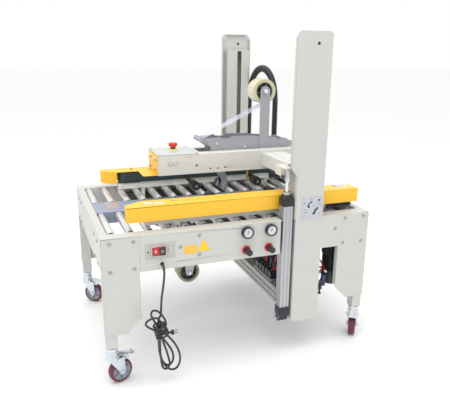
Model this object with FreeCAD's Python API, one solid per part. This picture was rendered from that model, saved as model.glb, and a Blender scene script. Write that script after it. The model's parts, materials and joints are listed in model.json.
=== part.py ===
import FreeCAD, Part
import math
import os
from FreeCAD import Vector as V

os.makedirs("parts", exist_ok=True)

# Random-size carton sealer: roller table on castors, two side belt units that
# grip the carton, and an upper taping head carried between two masts.
# Millimetres, +Z up. +X is the carton's direction of travel, -Y is the control side.
# Working coordinates start at the infeed end (x=0), the control-side face (y=0)
# and the floor (z=0); ORIGIN_X and ORIGIN_Y move them to the row's centre.

# ---- driving dimensions -------------------------------------------------
LEN = 1170.0            # table length
WID = 850.0             # outside width over the side panels
TABLE_H = 625.0         # top of the table frame
MAST_TOP = 1380.0       # top of both masts
T = 3.0                 # sheet thickness
RAIL_H = 147.0          # depth of the side panels
FLANGE = 60.0           # width of the rails' top flange
MID = WID / 2.0
ORIGIN_X = 603.64
ORIGIN_Y = 405.23
ROLLER_R = 16.0
ROLLER_Z = 611.0
ROLLER_PITCH = 75.5
ROLLER_X0 = 50.0
ROLLER_N = 15
SPIN_N = 4              # rollers at the infeed end that turn on their own
SPINE_Y = (345.0, 505.0)
MAST_X = (780.0, 935.0)
LEG_X0 = 806.0
GUIDE_X = (802.0, 913.0)
GUIDE_D = 60.0
SLOT_X = (846.5, 868.5)
HEAD_X = (305.0, 1060.0)
HEAD_Y = (332.0, 518.0)
HEAD_Z = (771.0, 860.0)
LIFT = 360.0            # travel of the upper head
TAPE_W = 72.0
TAPE_R = 56.0
CORE_R = 38.0
TAPE_Y = (389.0, 461.0)
ROLL_UP = (824.0, 1122.0)
ROLL_LO = (455.0, 278.0)
UNIT_MID = 425.0        # centre line between the two belt units
UNIT_IN = 273.0         # from that line to a unit's guard edge
UNIT_W = 88.0
UNIT_X = (112.0, 1148.0)
UNIT_Z = (657.0, 718.0)
UNIT_TRAVEL = 150.0
CASTOR_X = (25.0, 1145.0)
CASTOR_Y = (25.0, 825.0)
WHEEL_R = 50.0
TRAIL = 34.0
CYL = (773.5, 27.5)     # lift cylinder axis, control side
HOSE_R = 14.0
CORD_R = 4.2

parts = {}


def box(x0, x1, y0, y1, z0, z1):
    return Part.makeBox(x1 - x0, y1 - y0, z1 - z0, V(x0, y0, z0))


def cx(x0, x1, y, z, r):
    return Part.makeCylinder(r, x1 - x0, V(x0, y, z), V(1, 0, 0))


def cy(y0, y1, x, z, r):
    return Part.makeCylinder(r, y1 - y0, V(x, y0, z), V(0, 1, 0))


def cz(z0, z1, x, y, r):
    return Part.makeCylinder(r, z1 - z0, V(x, y, z0), V(0, 0, 1))


def outline(pts, rad=None):
    """Closed wire in a plane through 2-D points, with arcs of the given radii."""
    n = len(pts)
    rad = rad or [0] * n
    segs = []
    ends = []
    for i in range(n):
        p0, p1, p2 = V(*pts[i - 1], 0), V(*pts[i], 0), V(*pts[(i + 1) % n], 0)
        r = rad[i]
        if r <= 0:
            ends.append((p1, None, p1))
            continue
        a = (p0 - p1).normalize()
        b = (p2 - p1).normalize()
        half = a.getAngle(b) / 2.0
        d = r / math.tan(half)
        c = p1 + (a + b).normalize() * (r / math.sin(half))
        m = c + (p1 - c).normalize() * r
        ends.append((p1 + a * d, m, p1 + b * d))
    for i in range(n):
        s, m, e = ends[i]
        if m is not None:
            segs.append(Part.Arc(s, m, e).toShape())
        nxt = ends[(i + 1) % n][0]
        if (nxt - e).Length > 1e-6:
            segs.append(Part.LineSegment(e, nxt).toShape())
    return Part.Wire(segs)


def xz(pts, y0, y1, rad=None):
    f = Part.Face(outline(pts, rad))
    s = f.extrude(V(0, 0, y1 - y0))
    # map (u, v, w) to (x, y, z) = (u, y0 + w, v)
    m = FreeCAD.Matrix(1, 0, 0, 0, 0, 0, 1, y0, 0, 1, 0, 0, 0, 0, 0, 1)
    s = s.transformGeometry(m)
    return solid(s)


def yz(pts, x0, x1, rad=None):
    f = Part.Face(outline(pts, rad))
    s = f.extrude(V(0, 0, x1 - x0))
    m = FreeCAD.Matrix(0, 0, 1, x0, 1, 0, 0, 0, 0, 1, 0, 0, 0, 0, 0, 1)
    s = s.transformGeometry(m)
    return solid(s)


def xy(pts, z0, z1, rad=None):
    f = Part.Face(outline(pts, rad))
    s = f.extrude(V(0, 0, z1 - z0))
    s.translate(V(0, 0, z0))
    return s


def solid(s):
    if s.Volume < 0:
        s.reverse()
    sol = Part.Solid(s.Shells[0])
    if sol.Volume < 0:
        sol.reverse()
    return sol


def fuse(*shapes):
    out = shapes[0]
    if len(shapes) > 1:
        out = out.multiFuse(list(shapes[1:]))
    return out.removeSplitter()


def cut(a, *tools):
    return a.cut(list(tools)) if tools else a


def mirror_y(s, mid=MID):
    m = s.mirror(V(0, mid, 0), V(0, 1, 0))
    return m


def group(*shapes):
    return Part.makeCompound(list(shapes))


def add(name, shape):
    parts[name] = shape


# ---- roller stations -----------------------------------------------------
stations = [ROLLER_X0 + ROLLER_PITCH * k for k in range(ROLLER_N)]
NEAR = (65.0, 343.0)
FAR = (507.0, 785.0)

# ---- main frame ------------------------------------------------------------
pieces = []
leg = [(0, 225), (86, 225), (144, 284), (144, 625), (0, 625)]
leg_front = xz(leg, 0, T, [8, 0, 0, 0, 6])
flank = yz([(T, 225), (28, 225), (42, 300), (42, 622), (T, 622)], 0, T)
inner = yz([(T, 292), (24, 292), (24, 478), (T, 478)], 141, 144)
for s in (leg_front, flank, inner):
    pieces += [s, mirror_y(s)]
z0 = TABLE_H - RAIL_H
# end beams
pieces.append(box(0, T, T, WID - T, z0 + 2, TABLE_H - T))
pieces.append(box(LEN - T, LEN, T, WID - T, z0 + 2, TABLE_H - T))
# top flange ring, and the lip that stiffens it
ring = cut(box(0, LEN, T, WID - T, TABLE_H - T, TABLE_H),
           box(32, LEN - 32, FLANGE, WID - FLANGE, 600, 640))
pieces.append(ring)
pieces.append(box(29, 32, FLANGE, WID - FLANGE, 575, TABLE_H - T))
pieces.append(box(LEN - 32, LEN - 29, FLANGE, WID - FLANGE, 575, TABLE_H - T))
web = box(T, LEN - T, FLANGE - T, FLANGE, z0 + 2, TABLE_H - T)
pieces += [web, mirror_y(web)]
# stubs that carry the castors
for sx in CASTOR_X:
    for sy in CASTOR_Y:
        tube = box(sx - 22, sx + 22, sy - 22, sy + 22, 165, z0 + 40)
        tube = cut(tube, box(sx - 18, sx + 18, sy - 18, sy + 18, 175, z0 + 37))
        pieces.append(cut(tube, cz(160, 180, sx, sy, 6.05)))
# guide bars that the belt units slide on
for gx in (314.25, 993.75):
    pieces.append(cy(FLANGE - T, WID - FLANGE + T, gx, 545, 12))
frame = fuse(*pieces)
notch = [box(746, 801, T, 54, z0, TABLE_H + 1)]
notch.append(mirror_y(notch[0]))
bores = []
for x in stations:
    for w in (FLANGE - T - 1, WID - FLANGE - 1):
        bores.append(cy(w, w + T + 2, x, ROLLER_Z, 4.05))
# four holes in each end beam take a feed table's bracket
for x in (-1, LEN - T - 1):
    for y in (MID - 200, MID + 200):
        for z in (515.0, 575.0):
            bores.append(cx(x, x + T + 2, y, z, 4.5))
frame = cut(frame, *(notch + bores))
add("frame_weldment", frame)

# ---- side panels ---------------------------------------------------------
panel = fuse(box(147, 739, 0, T, z0, TABLE_H), box(147, 739, T, 30, z0, z0 + T))
rear_panel = mirror_y(panel)
front_panel = cut(panel,
                  cy(-1, T + 1, 586, 593, 18), cy(-1, T + 1, 691, 593, 18),
                  cy(-1, T + 1, 584, 516, 14), cy(-1, T + 1, 685, 516, 14),
                  cy(-1, T + 1, 229, 505, 8),
                  box(191, 247, -1, T + 1, 537, 576))
add("front_panel", front_panel)
add("rear_panel", rear_panel)

# ---- masts, with the tall leg and the outfeed leg in one plate ---------------
col = [(LEG_X0, 148), (935, 148), (935, 480), (1021, 480), (1021, 284), (1080, 225),
       (LEN, 225), (LEN, TABLE_H), (935, TABLE_H), (935, MAST_TOP), (MAST_X[0], MAST_TOP),
       (MAST_X[0], 836), (LEG_X0, 806)]
col_r = [10, 10, 0, 0, 0, 0, 8, 16, 0, 20, 20, 8, 8]
plate = xz(col, 0, T, col_r)
mast = [plate,
        box(LEG_X0, LEG_X0 + T, T, FLANGE - T, 160, TABLE_H - T),
        box(932, 935, T, FLANGE - T, 160, z0 + 2),
        box(MAST_X[0], MAST_X[0] + T, T, 18, 846, MAST_TOP - 22),
        box(932, 935, T, 18, TABLE_H, MAST_TOP - 22),
        box(MAST_X[0] + 22, 913, T, 18, MAST_TOP - T, MAST_TOP),
        box(LEN - T, LEN, T, 42, 233, z0 + 2),
        box(1021, 1024, T, 24, 292, z0 + 2)]
guide = box(GUIDE_X[0], GUIDE_X[1], T, T + GUIDE_D, TABLE_H, 1302)
guide = cut(guide, box(GUIDE_X[0] + 4, GUIDE_X[1] - 4, T + 4, GUIDE_D - 1, 650, 1296),
            box(SLOT_X[0], SLOT_X[1], GUIDE_D - 5, GUIDE_D + 5, 650, 1296))
mast.append(guide)
mast_front = fuse(*mast)
mast_front = cut(mast_front, cy(-1, T + 1, 872, 1333, 6.5),
                 box(932, 936, T, FLANGE, z0 + 1, TABLE_H - T))
mast_rear = mirror_y(mast_front)
add("mast_front", mast_front)
add("mast_rear", mast_rear)

# ---- spine between the two roller banks -----------------------------------
s0, s1 = SPINE_Y
spine = fuse(box(32, LEN - 32, s0, s1, TABLE_H - T, TABLE_H),
             box(32, LEN - 32, s0, s0 + T, 575, TABLE_H),
             box(32, LEN - 32, s1 - T, s1, 575, TABLE_H))
tools = [box(420, 1000, 384, 466, 600, 640)]
for x in stations:
    tools += [cy(s0 - 1, s0 + T + 1, x, ROLLER_Z, 4.05), cy(s1 - T - 1, s1 + 1, x, ROLLER_Z, 4.05)]
add("table_spine", cut(spine, *tools))

# ---- ribbed cross channel between the tall legs -----------------------------
prof = [(748, 300), (748, 290), (752, 288), (752, 272), (748, 270), (748, 262),
        (752, 260), (752, 246), (748, 244), (748, 232), (LEG_X0, 232), (LEG_X0, 300)]
ch = xz(prof, 52, WID - 52)
ch = cut(ch, box(757, LEG_X0 - 5, 40, WID - 40, 237, 295))
add("cross_channel", ch)

# ---- table rollers -----------------------------------------------------------
def roller(x):
    out = []
    for (a, b), (p, q) in ((NEAR, (FLANGE - T + 0.5, s0 + T - 0.5)), (FAR, (s1 - T + 0.5, WID - FLANGE + T - 0.5))):
        tube = cy(a + 8, b - 8, x, ROLLER_Z, ROLLER_R)
        caps = [cy(a, a + 8, x, ROLLER_Z, ROLLER_R - 1.5), cy(b - 8, b, x, ROLLER_Z, ROLLER_R - 1.5)]
        out.append(fuse(tube, caps[0], caps[1], cy(p, q, x, ROLLER_Z, 4.0)))
    return out


bank = []
for i, x in enumerate(stations):
    r = roller(x)
    if i < SPIN_N:
        add("table_roller_%d" % (i + 1), group(*r))
    else:
        bank += r
add("table_roller_bank", group(*bank))

# ---- controls on the front panel --------------------------------------------
sw = fuse(box(168, 283, -2, 0, 526, 587), box(188, 250, -6, 0, 534, 579), box(256, 271, -4, 0, 544, 572))
sw = cut(sw, box(192, 246, -8, 2, 538.5, 574.5))
rocker = fuse(box(194, 244, -10, -3, 540.5, 572.5), cz(541, 572, 219, -3, 3))
rocker = cut(rocker, box(218.4, 219.6, -12, -9.2, 530, 580))
rocker.rotate(V(219, -3, 0), V(0, 0, 1), -8)
add("power_rocker", rocker)
pneu = []
for gx in (586.0, 691.0):
    ring_ = cut(cy(-15, 0, gx, 593, 25), cy(-16, -12, gx, 593, 21))
    pneu.append(fuse(ring_, cy(0, 30, gx, 593, 16)))
for gx in (584.0, 685.0):
    ring_ = cut(fuse(cy(-7, 0, gx, 516, 18.5), cy(0, 34, gx, 516, 13.5)), cy(-8, 26, gx, 516, 6.05))
    pneu.append(ring_)
add("gauges_and_regulators", group(*pneu))
for nm, gx in (("regulator_knob_left", 584.0), ("regulator_knob_right", 685.0)):
    k = fuse(cy(-46, -7.2, gx, 516, 13), cy(-7.2, 25, gx, 516, 6.0))
    add(nm, k)
labels = [xz([(833, 620), (927, 620), (927, 714), (833, 714)], -1.5, 0, [3, 3, 3, 3]),
          box(320, 373, -1, 0, 529, 565),
          xz([(373, 535), (430, 535), (401.5, 584)], -1, 0, [2, 2, 2]),
          box(85, 146, 392, 500, TABLE_H, TABLE_H + 1)]
add("panel_plates", group(sw, *labels))

# ---- screws ----------------------------------------------------------------
scr = []


def screw_y(x, z, y=0.0, r=7.0, h=4.0, sign=-1):
    a, b = (y - h, y) if sign < 0 else (y, y + h)
    s = cy(a, b, x, z, r)
    hx = cy(a - 1, a + 2, x, z, 2.6) if sign < 0 else cy(b - 2, b + 1, x, z, 2.6)
    return s.cut(hx)


front_scr = [(31, 605), (122, 605), (31, 493), (122, 495), (306, 562), (383, 602), (383, 522),
             (1142, 608), (1048, 607), (1001, 564), (1045, 493), (1137, 493)]
for x, z in front_scr:
    scr.append(screw_y(x, z))
    scr.append(screw_y(x, z, y=WID, sign=1))
for y in (102.0, 188.0, WID - 188.0, WID - 102.0):
    for z in (495.0, 588.0):
        scr.append(cx(-4, 0, y, z, 7).cut(cx(-5, -2, y, z, 2.6)))
        scr.append(cx(LEN, LEN + 4, y, z, 7).cut(cx(LEN + 2, LEN + 5, y, z, 2.6)))
add("frame_screws", group(*scr))

# ---- lift cylinders ------------------------------------------------------------
def cylinder():
    x, y = CYL
    a = 22.5
    body = xy([(x - a, y - a), (x + a, y - a), (x + a, y + a), (x - a, y + a)], 222, 682, [5, 5, 5, 5])
    grooves = []
    for sx, sy in ((0, -1), (-1, 0), (1, 0), (0, 1)):
        for off in (-9.0, 9.0):
            if sx == 0:
                grooves.append(box(x + off - 2, x + off + 2, y + sy * a - 3, y + sy * a + 3, 222, 682))
            else:
                grooves.append(box(x + sx * a - 3, x + sx * a + 3, y + off - 2, y + off + 2, 222, 682))
    body = cut(body, *grooves)
    c = 24.5
    top = xy([(x - c, y - c), (x + c, y - c), (x + c, y + c), (x - c, y + c)], 682, 730, [4, 4, 4, 4])
    nose = cz(730, 742, x, y, 16)
    bot = xy([(x - c, y - c), (x + c, y - c), (x + c, y + c), (x - c, y + c)], 182, 222, [4, 4, 4, 4])
    eye = yz([(y - 15, 182), (y - 9, 153), (y + 9, 153), (y + 15, 182)], x - c, x + c, [0, 5, 5, 0])
    pin = cx(x - 34, LEG_X0, y, 166, 5)
    head = cx(x - 39, x - 34, y, 166, 8)
    s = fuse(body, top, nose, bot, eye, pin, head)
    return cut(s, cz(240, 700, x, y, 16.1), cz(690, 750, x, y, 8.05))


c1 = cylinder()
add("lift_cylinders", group(c1, mirror_y(c1)))

# ---- upper head --------------------------------------------------------------
hx0, hx1 = HEAD_X
hy0, hy1 = HEAD_Y
hz0, hz1 = HEAD_Z
beam = cut(box(hx0, hx1, hy0, hy1, hz0, hz1),
           box(hx0 + T, hx1 - T, hy0 + T, hy1 - T, hz0 - 1, hz1 - T),
           box(505, 1000, 380, 470, hz1 - 5, hz1 + 5))
ax0, ax1 = 797.0, 907.0
sides = []
arm = cut(box(ax0, ax1, 71, hy0, 788, 848), box(ax0 + T, ax1 - T, 71 + T, hy0 + 1, 788 + T, 848 - T))
tongue = box(849.5, 865.5, 50, 72, 790, 846)
carriage = xz([(812, 772), (903, 772), (903, 866), (812, 866)], 14, 54, [8, 8, 8, 8])
wheels = [cy(10.5, 14, x, z, 9) for x in (830, 885) for z in (788, 850)]
bracket = fuse(box(757, ax0, 71, 112, 834, 842), box(757, 790, 20, 112, 834, 842), box(757, 763, 60, 112, 800, 834))
for s in (arm, tongue, carriage, bracket, *wheels):
    sides += [s, mirror_y(s)]
# screws of the arms' pivots, proud of the beam's side
rings = []
for x, z in ((356, 822), (381, 822)):
    rings.append(cy(hy0 - 3, hy0, x, z, 9))
    rings.append(cy(hy1, hy1 + 3, x, z, 9))
head_beam = fuse(beam, *sides, *rings)
clip = cz(hz1, hz1 + 12, 930.0, 494.0, 18)
head_beam = fuse(head_beam, clip)
head_beam = cut(head_beam, cz(hz1 - 5, hz1 + 2, 402, 450, 11), *[cy(hy0 - 1, hy0 + T + 1, x, z, 3) for x, z in ((543, 790), (578, 790), (611, 792))])
add("head_beam", head_beam)

cover = cut(box(hx0 - 1, 490, hy0 - 1, hy1 + 1, hz1, hz1 + 2), cz(hz1 - 1, hz1 + 3, 402, 450, 11.05))
collar = cut(fuse(cz(hz1 + 2, hz1 + 4, 402, 450, 29), cz(hz1 + 2, hz1 + 7, 402, 450, 17)),
             cz(hz1, hz1 + 20, 402, 450, 8.1))
add("head_cover", group(cover, collar))
mush = fuse(cz(hz1 + 18, hz1 + 33, 402, 450, 20), Part.makeCone(14, 20, 5, V(402, 450, hz1 + 17 - 4), V(0, 0, 1)).common(cz(hz1 + 13, hz1 + 18, 402, 450, 21)),
            cz(hz1 + 12.5, hz1 + 20, 402, 450, 13), cz(hz1 - 14, hz1 + 14, 402, 450, 8.0))
dome = cz(hz1 + 33, hz1 + 36, 402, 450, 17)
add("estop_button", fuse(mush, dome))

nose = [box(hx0 - T, hx0, 340, 510, hz0, hz1 - 3),
        xy([(240, 352), (247, 345), (hx0, 345), (hx0, 505), (247, 505), (240, 498)], hz0, hz0 + T)]
nose_p = fuse(*nose)
for y, z in ((380, 795), (380, 838), (470, 795), (470, 838)):
    nose_p = nose_p.fuse(cx(hx0 - T - 6, hx0 - T, y, z, 6.5))
add("head_nose_plate", nose_p.removeSplitter())

# tape cartridge: two side plates, the roll's post, spacers and the web guide
cart_pts = [(526, 915), (545, 919), (588, 919), (600, 924), (612, 916), (651, 914), (666, 924),
            (761, 921), (885, 908), (906, 896), (913, 909), (965, 890), (988, 886),
            (988, 782), (560, 782), (560, 877)]
cp1 = xz(cart_pts, 382, 385)
cp2 = xz(cart_pts, 465, 468)
spacers = [cy(385, 465, x, z, 6) for x, z in ((590, 890), (730, 870), (960, 860), (960, 800), (650, 850))]
post = xz([(ROLL_UP[0] - 24, 860), (ROLL_UP[0] + 24, 860), (ROLL_UP[0] + 24, ROLL_UP[1] + 24), (ROLL_UP[0] - 24, ROLL_UP[1] + 24)],
          378, 382, [0, 0, 23.9, 23.9])
axle = fuse(cy(374, 380, ROLL_UP[0], ROLL_UP[1], 10), cy(378, 466, ROLL_UP[0], ROLL_UP[1], 8.0))
guide_bar = cy(385, 465, 512, 915, 6)
ears = [xz([(503, 908), (560, 878), (575, 900), (512, 924)], a, b) for a, b in ((385, 388), (462, 465))]
pivots_up = [(385.0, 823.0), (693.0, 823.0)]
cart = fuse(cp1, cp2, *spacers, post, axle, guide_bar, *ears)
cart = cut(cart, cy(380, 470, 693, 823, 8.05), cy(380, 470, 600, 800, 6.05))
add("tape_cartridge", cart)
roll = cut(cy(TAPE_Y[0], TAPE_Y[1], ROLL_UP[0], ROLL_UP[1], TAPE_R), cy(380, 470, ROLL_UP[0], ROLL_UP[1], 8.05))
add("upper_tape_roll", roll)


# tape web: from the roll's lower left side down to the guide bar
def tangent_web():
    ccx, ccz = ROLL_UP
    gx_, gz_ = 512.0, 915.0
    dx, dz = gx_ - ccx, gz_ - ccz
    dist = math.hypot(dx, dz)
    base = math.atan2(dz, dx)
    # the line touches the roll's upper-left side and the bar's upper side
    off = math.acos((TAPE_R - 6.0 + 0.2) / dist)
    a = base + off * 1.0
    best = None
    for sgn in (1, -1):
        a = base + sgn * off
        n = (math.cos(a), math.sin(a))
        p = (ccx + n[0] * (TAPE_R + 0.3), ccz + n[1] * (TAPE_R + 0.3))
        q = (gx_ + n[0] * 6.3, gz_ + n[1] * 6.3)
        if best is None or p[1] < best[0][1]:
            best = (p, q, n)
    (px, pz), (qx, qz), n = best
    t = 0.8
    return xz([(px, pz), (qx, qz), (qx + n[0] * t, qz + n[1] * t), (px + n[0] * t, pz + n[1] * t)],
              TAPE_Y[0] + 1, TAPE_Y[1] - 1)


add("tape_web", tangent_web())


# applicator arms: a pair of side plates, a pivot tube and a rubber roller
def applicator(px, pz, rx, rz, rr=21.0, prefix="upper_front", pin_r=8.0, yy=(394.0, 456.0)):
    dx, dz = rx - px, rz - pz
    d = math.hypot(dx, dz)
    nx, nz = -dz / d, dx / d
    w1, w2 = 13.0, 9.0
    pts = [(px + nx * w1, pz + nz * w1), (px - nx * w1, pz - nz * w1),
           (rx - nx * w2, rz - nz * w2), (rx + nx * w2, rz + nz * w2)]
    side = []
    for a in (yy[0] - 5.0, yy[1] + 1.0):
        p = xz(pts, a, a + 4.0)
        side.append(fuse(p, cy(a, a + 4, px, pz, w1), cy(a, a + 4, rx, rz, w2)))
    tube = cy(yy[0] - 5.0, yy[1] + 5.0, px, pz, 12.0)
    arm_ = fuse(side[0], side[1], tube)
    shaft = cy(yy[0] - 5.0, yy[1] + 5.0, rx, rz, 4.0)
    arm_ = fuse(arm_, shaft)
    arm_ = fuse(arm_, cy(yy[0] - 12.0, yy[1] + 12.0, px, pz, pin_r))
    rol = cut(cy(yy[0] + 0.5, yy[1] - 0.5, rx, rz, rr), cy(yy[0] - 6, yy[1] + 6, rx, rz, 4.05))
    return arm_, rol


# front arm's bearings hang from the beam's roof on two cheeks
cheeks = [xz([(365, 806), (405, 806), (405, hz1 - T), (365, hz1 - T)], a, b) for a, b in ((382, 386), (464, 468))]
cheek = cut(fuse(head_beam, *cheeks), cy(380, 470, 385, 823, 8.05))
parts["head_beam"] = cheek
a1, r1 = applicator(385, 823, 496, 696)
add("upper_front_arm", a1)
add("upper_front_roller", r1)
a2, r2 = applicator(693, 823, 804, 696)
add("upper_rear_arm", a2)
add("upper_rear_roller", r2)
cut_arm = fuse(xz([(588, 800), (612, 800), (650, 735), (655, 676), (640, 664), (620, 672), (622, 722)], 404, 446, [0, 0, 6, 8, 8, 8, 4]),
               cy(404, 446, 600, 800, 13), cy(382, 468, 600, 800, 6.0))
guard_b = xz([(624, 726), (604, 716), (592, 690), (600, 684), (622, 702)], 408, 442)
add("upper_cutter_arm", fuse(cut_arm, guard_b))

# piston rods with their clevises, bolted to the arm brackets
rx_, ry_ = CYL
rod = fuse(cz(320, 834, rx_, ry_, 8.0), cz(320, 338, rx_, ry_, 15.9))
clev = fuse(box(rx_ - 14, rx_ + 5, ry_ - 13, ry_ + 13, 800, 834), cx(rx_ - 20, rx_ - 14, ry_, 817, 7))
rod = fuse(rod, clev)
add("piston_rods", group(rod, mirror_y(rod)))

# ---- air and power umbilical, corrugated hose in three lengths ---------------------
HX, HYA, HYB, HZC = 930.0, 812.0, 494.0, 1055.0


def bellows(x, y, z0_, z1_, pitch=12.0):
    """A ribbed tube along Z."""
    pts = [(0, z0_), (HOSE_R - 2, z0_)]
    z = z0_
    while z + pitch <= z1_ + 1e-6:
        pts += [(HOSE_R, z + 3), (HOSE_R, z + pitch - 5), (HOSE_R - 2, z + pitch - 2), (HOSE_R - 2, z + pitch)]
        z += pitch
    if z < z1_ - 1e-6:
        pts.append((HOSE_R - 2, z1_))
    pts.append((0, z1_))
    clean = [pts[0]]
    for p in pts[1:]:
        if math.hypot(p[0] - clean[-1][0], p[1] - clean[-1][1]) > 1e-6:
            clean.append(p)
    w = Part.makePolygon([V(x + a, y, b) for a, b in clean] + [V(x + clean[0][0], y, clean[0][1])])
    return solid(Part.Face(w).revolve(V(x, y, 0), V(0, 0, 1), 360))


riser = fuse(cz(TABLE_H, TABLE_H + 18, HX, HYA, 16), cz(TABLE_H + 10, HZC, HX, HYA, HOSE_R))
add("umbilical_riser", riser)
R_ARC = (HYA - HYB) / 2.0
tor = Part.makeTorus(R_ARC, HOSE_R, V(HX, (HYA + HYB) / 2.0, HZC), V(1, 0, 0))
half = tor.common(box(HX - 30, HX + 30, HYB - 40, HYA + 40, HZC, HZC + 300))
add("umbilical_arch", half)
drop = cz(hz1 + 12, HZC, HX, HYB, HOSE_R)
add("umbilical_drop", drop)

# ---- lower head ---------------------------------------------------------------
low_pts = [(240, 612), (430, 612), (430, 625), (990, 625), (990, 562), (880, 470), (760, 372), (540, 360), (430, 470), (240, 556)]
lp1 = xz(low_pts, 384, 388)
lp2 = xz(low_pts, 462, 466)
lsp = [cy(388, 462, x, z, 6) for x, z in ((470, 470), (560, 390), (740, 400), (900, 520), (960, 590))]
br = xz([(ROLL_LO[0] - 20, ROLL_LO[1] + 22), (ROLL_LO[0] - 14, ROLL_LO[1] - 12), (ROLL_LO[0] + 14, ROLL_LO[1] - 12),
         (ROLL_LO[0] + 24, ROLL_LO[1] + 30), (560, 400), (560, 470), (470, 470)], 378, 384)
lax = fuse(cy(372, 380, ROLL_LO[0], ROLL_LO[1], 10), cy(378, 466, ROLL_LO[0], ROLL_LO[1], 8.0))
low = fuse(lp1, lp2, *lsp, br, lax)
low = cut(low, cy(380, 470, 470, 530, 8.05), cy(380, 470, 778, 530, 8.05), cy(380, 470, 314.25, 545, 12.05))
add("lower_head_frame", low)
add("lower_tape_roll", cut(cy(TAPE_Y[0], TAPE_Y[1], ROLL_LO[0], ROLL_LO[1], 53),
                           cy(380, 470, ROLL_LO[0], ROLL_LO[1], 8.05)))
b1, q1 = applicator(470, 530, 575, 636, rr=21)
b2, q2 = applicator(778, 530, 883, 636, rr=21)
add("lower_front_arm", fuse(b1, q1))
add("lower_rear_arm", fuse(b2, q2))

# ---- side belt units ---------------------------------------------------------------
ux0, ux1 = UNIT_X
uz0, uz1 = UNIT_Z
yi = UNIT_MID - UNIT_IN            # inner edge of the near guard
yo = yi - UNIT_W                   # outer face
PY = yi - 30.0                     # pulley axis
PX = (225.0, 1068.75)
PR = 30.0


def unit():
    top = xy([(ux0, yo), (ux1, yo), (ux1, yi), (182, yi), (ux0, yi - 44)], uz1 - T, uz1, [2, 2, 2, 0, 0])
    skirt = [box(ux0, ux1, yo, yo + T, uz0, uz1 - T), box(ux0, ux0 + T, yo, yi - 44, uz0, uz1 - T),
             box(ux1 - T, ux1, yo, yi, uz0, uz1 - T),
             xy([(ux0, yi - 44), (182, yi), (182 + 1, yi - 3.2), (ux0 + T, yi - 44 - 1.6)], uz0, uz1 - T)]
    guard = fuse(top, *skirt)
    holes = [cz(uz1 - 5, uz1 + 1, x, PY, 3.0) for x in (300.0, 700.0, 1000.0)]
    scr_ = [cz(uz1, uz1 + 2.5, x, PY - 10, 4) for x in (350.0, 368.0)]
    guard = guard.fuse(scr_).removeSplitter()
    base = [box(190, 1140, PY - 21, PY + 24, 629, uz0),
            cz(uz0, 664, PX[0], PY, 12), cz(663, 709, PX[0], PY, PR - 0.5), cz(709, uz1 - T, PX[0], PY, 8),
            box(270, 1020, PY + 23, PY + 28.5, 664, 708), box(300, 990, PY + 12, PY + 24, 655, 680)]
    for x in (420.0, 640.0, 860.0):
        base.append(cz(uz0, uz1 - T, x, PY - 4, 7))
    beam_ = cut(fuse(*base), cz(560, 670, PX[1], PY, 9.05))
    hung = []
    for gx in (314.25, 993.75):
        block = fuse(box(gx - 8, gx + 8, PY - 18, PY + 18, 565, 629),
                     box(gx - 22, gx + 22, PY - 22, PY + 22, 524, 568))
        hung.append(cut(block, cy(PY - 40, PY + 40, gx, 545, 12.08)))
    # gearbox and motor below the table on a tube between two rollers
    hung.append(cut(cz(592, 629, PX[1], PY, 18.5), cz(560, 670, PX[1], PY, 9.05)))
    motor = fuse(box(PX[1] - 46, PX[1] + 46, PY - 46, PY + 44, 500, 592),
                 box(PX[1] - 42, PX[1] + 42, PY - 42, PY + 42, 262, 500),
                 cz(248, 262, PX[1], PY, 36))
    hung.append(cut(motor, cz(560, 670, PX[1], PY, 9.05)))
    b = group(beam_, *hung)
    drive = fuse(cz(663, 709, PX[1], PY, PR - 0.5), cz(565, 712, PX[1], PY, 9.0))
    loop_o = xy([(PX[0] - 34, PY - 34), (PX[1] + 34, PY - 34), (PX[1] + 34, PY + 34), (PX[0] - 34, PY + 34)], 662, 710, [33.9] * 4)
    loop_i = xy([(PX[0] - 30, PY - 30), (PX[1] + 30, PY - 30), (PX[1] + 30, PY + 30), (PX[0] - 30, PY + 30)], 660, 712, [29.9] * 4)
    belt = loop_o.cut(loop_i)
    return guard, b, belt, drive


g, b, bl, dr = unit()
for nm, s in (("guard", g), ("base", b), ("belt", bl), ("drive_pulley", dr)):
    add("near_%s" % nm, s)
    add("far_%s" % nm, mirror_y(s, UNIT_MID))

# ---- electrics and air valves -------------------------------------------------------
# switchgear box behind the cross channel, wiring duct inside the rear rail,
# and a bank of solenoid valves on the channel
ebox = xz([(LEG_X0, 240), (1000, 240), (1000, 350), (LEG_X0, 350)], 150, 700, [0, 4, 4, 0])
duct = box(225, 1012, 756, WID - FLANGE, 484, 590)
duct = cut(duct, cy(750, 800, 314.25, 545, 12.05), cy(750, 800, 993.75, 545, 12.05))
valves = [box(754, 800, 112, 300, 300, 310)]
for k in range(5):
    y0_ = 124.0 + 34.0 * k
    valves.append(box(758, 796, y0_, y0_ + 26, 310, 342))
    valves.append(cz(342, 352, 770, y0_ + 13, 6))
    valves.append(cz(342, 350, 786, y0_ + 13, 5))
add("electrics_and_valves", group(ebox, duct, fuse(*valves)))

# ---- castors --------------------------------------------------------------------
# trail direction of each castor's wheel, degrees from +X
castors = [("front_left", CASTOR_X[0], CASTOR_Y[0], 20.0), ("front_right", CASTOR_X[1], CASTOR_Y[0], 55.0),
           ("rear_left", CASTOR_X[0], CASTOR_Y[1], -35.0), ("rear_right", CASTOR_X[1], CASTOR_Y[1], -150.0)]


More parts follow.
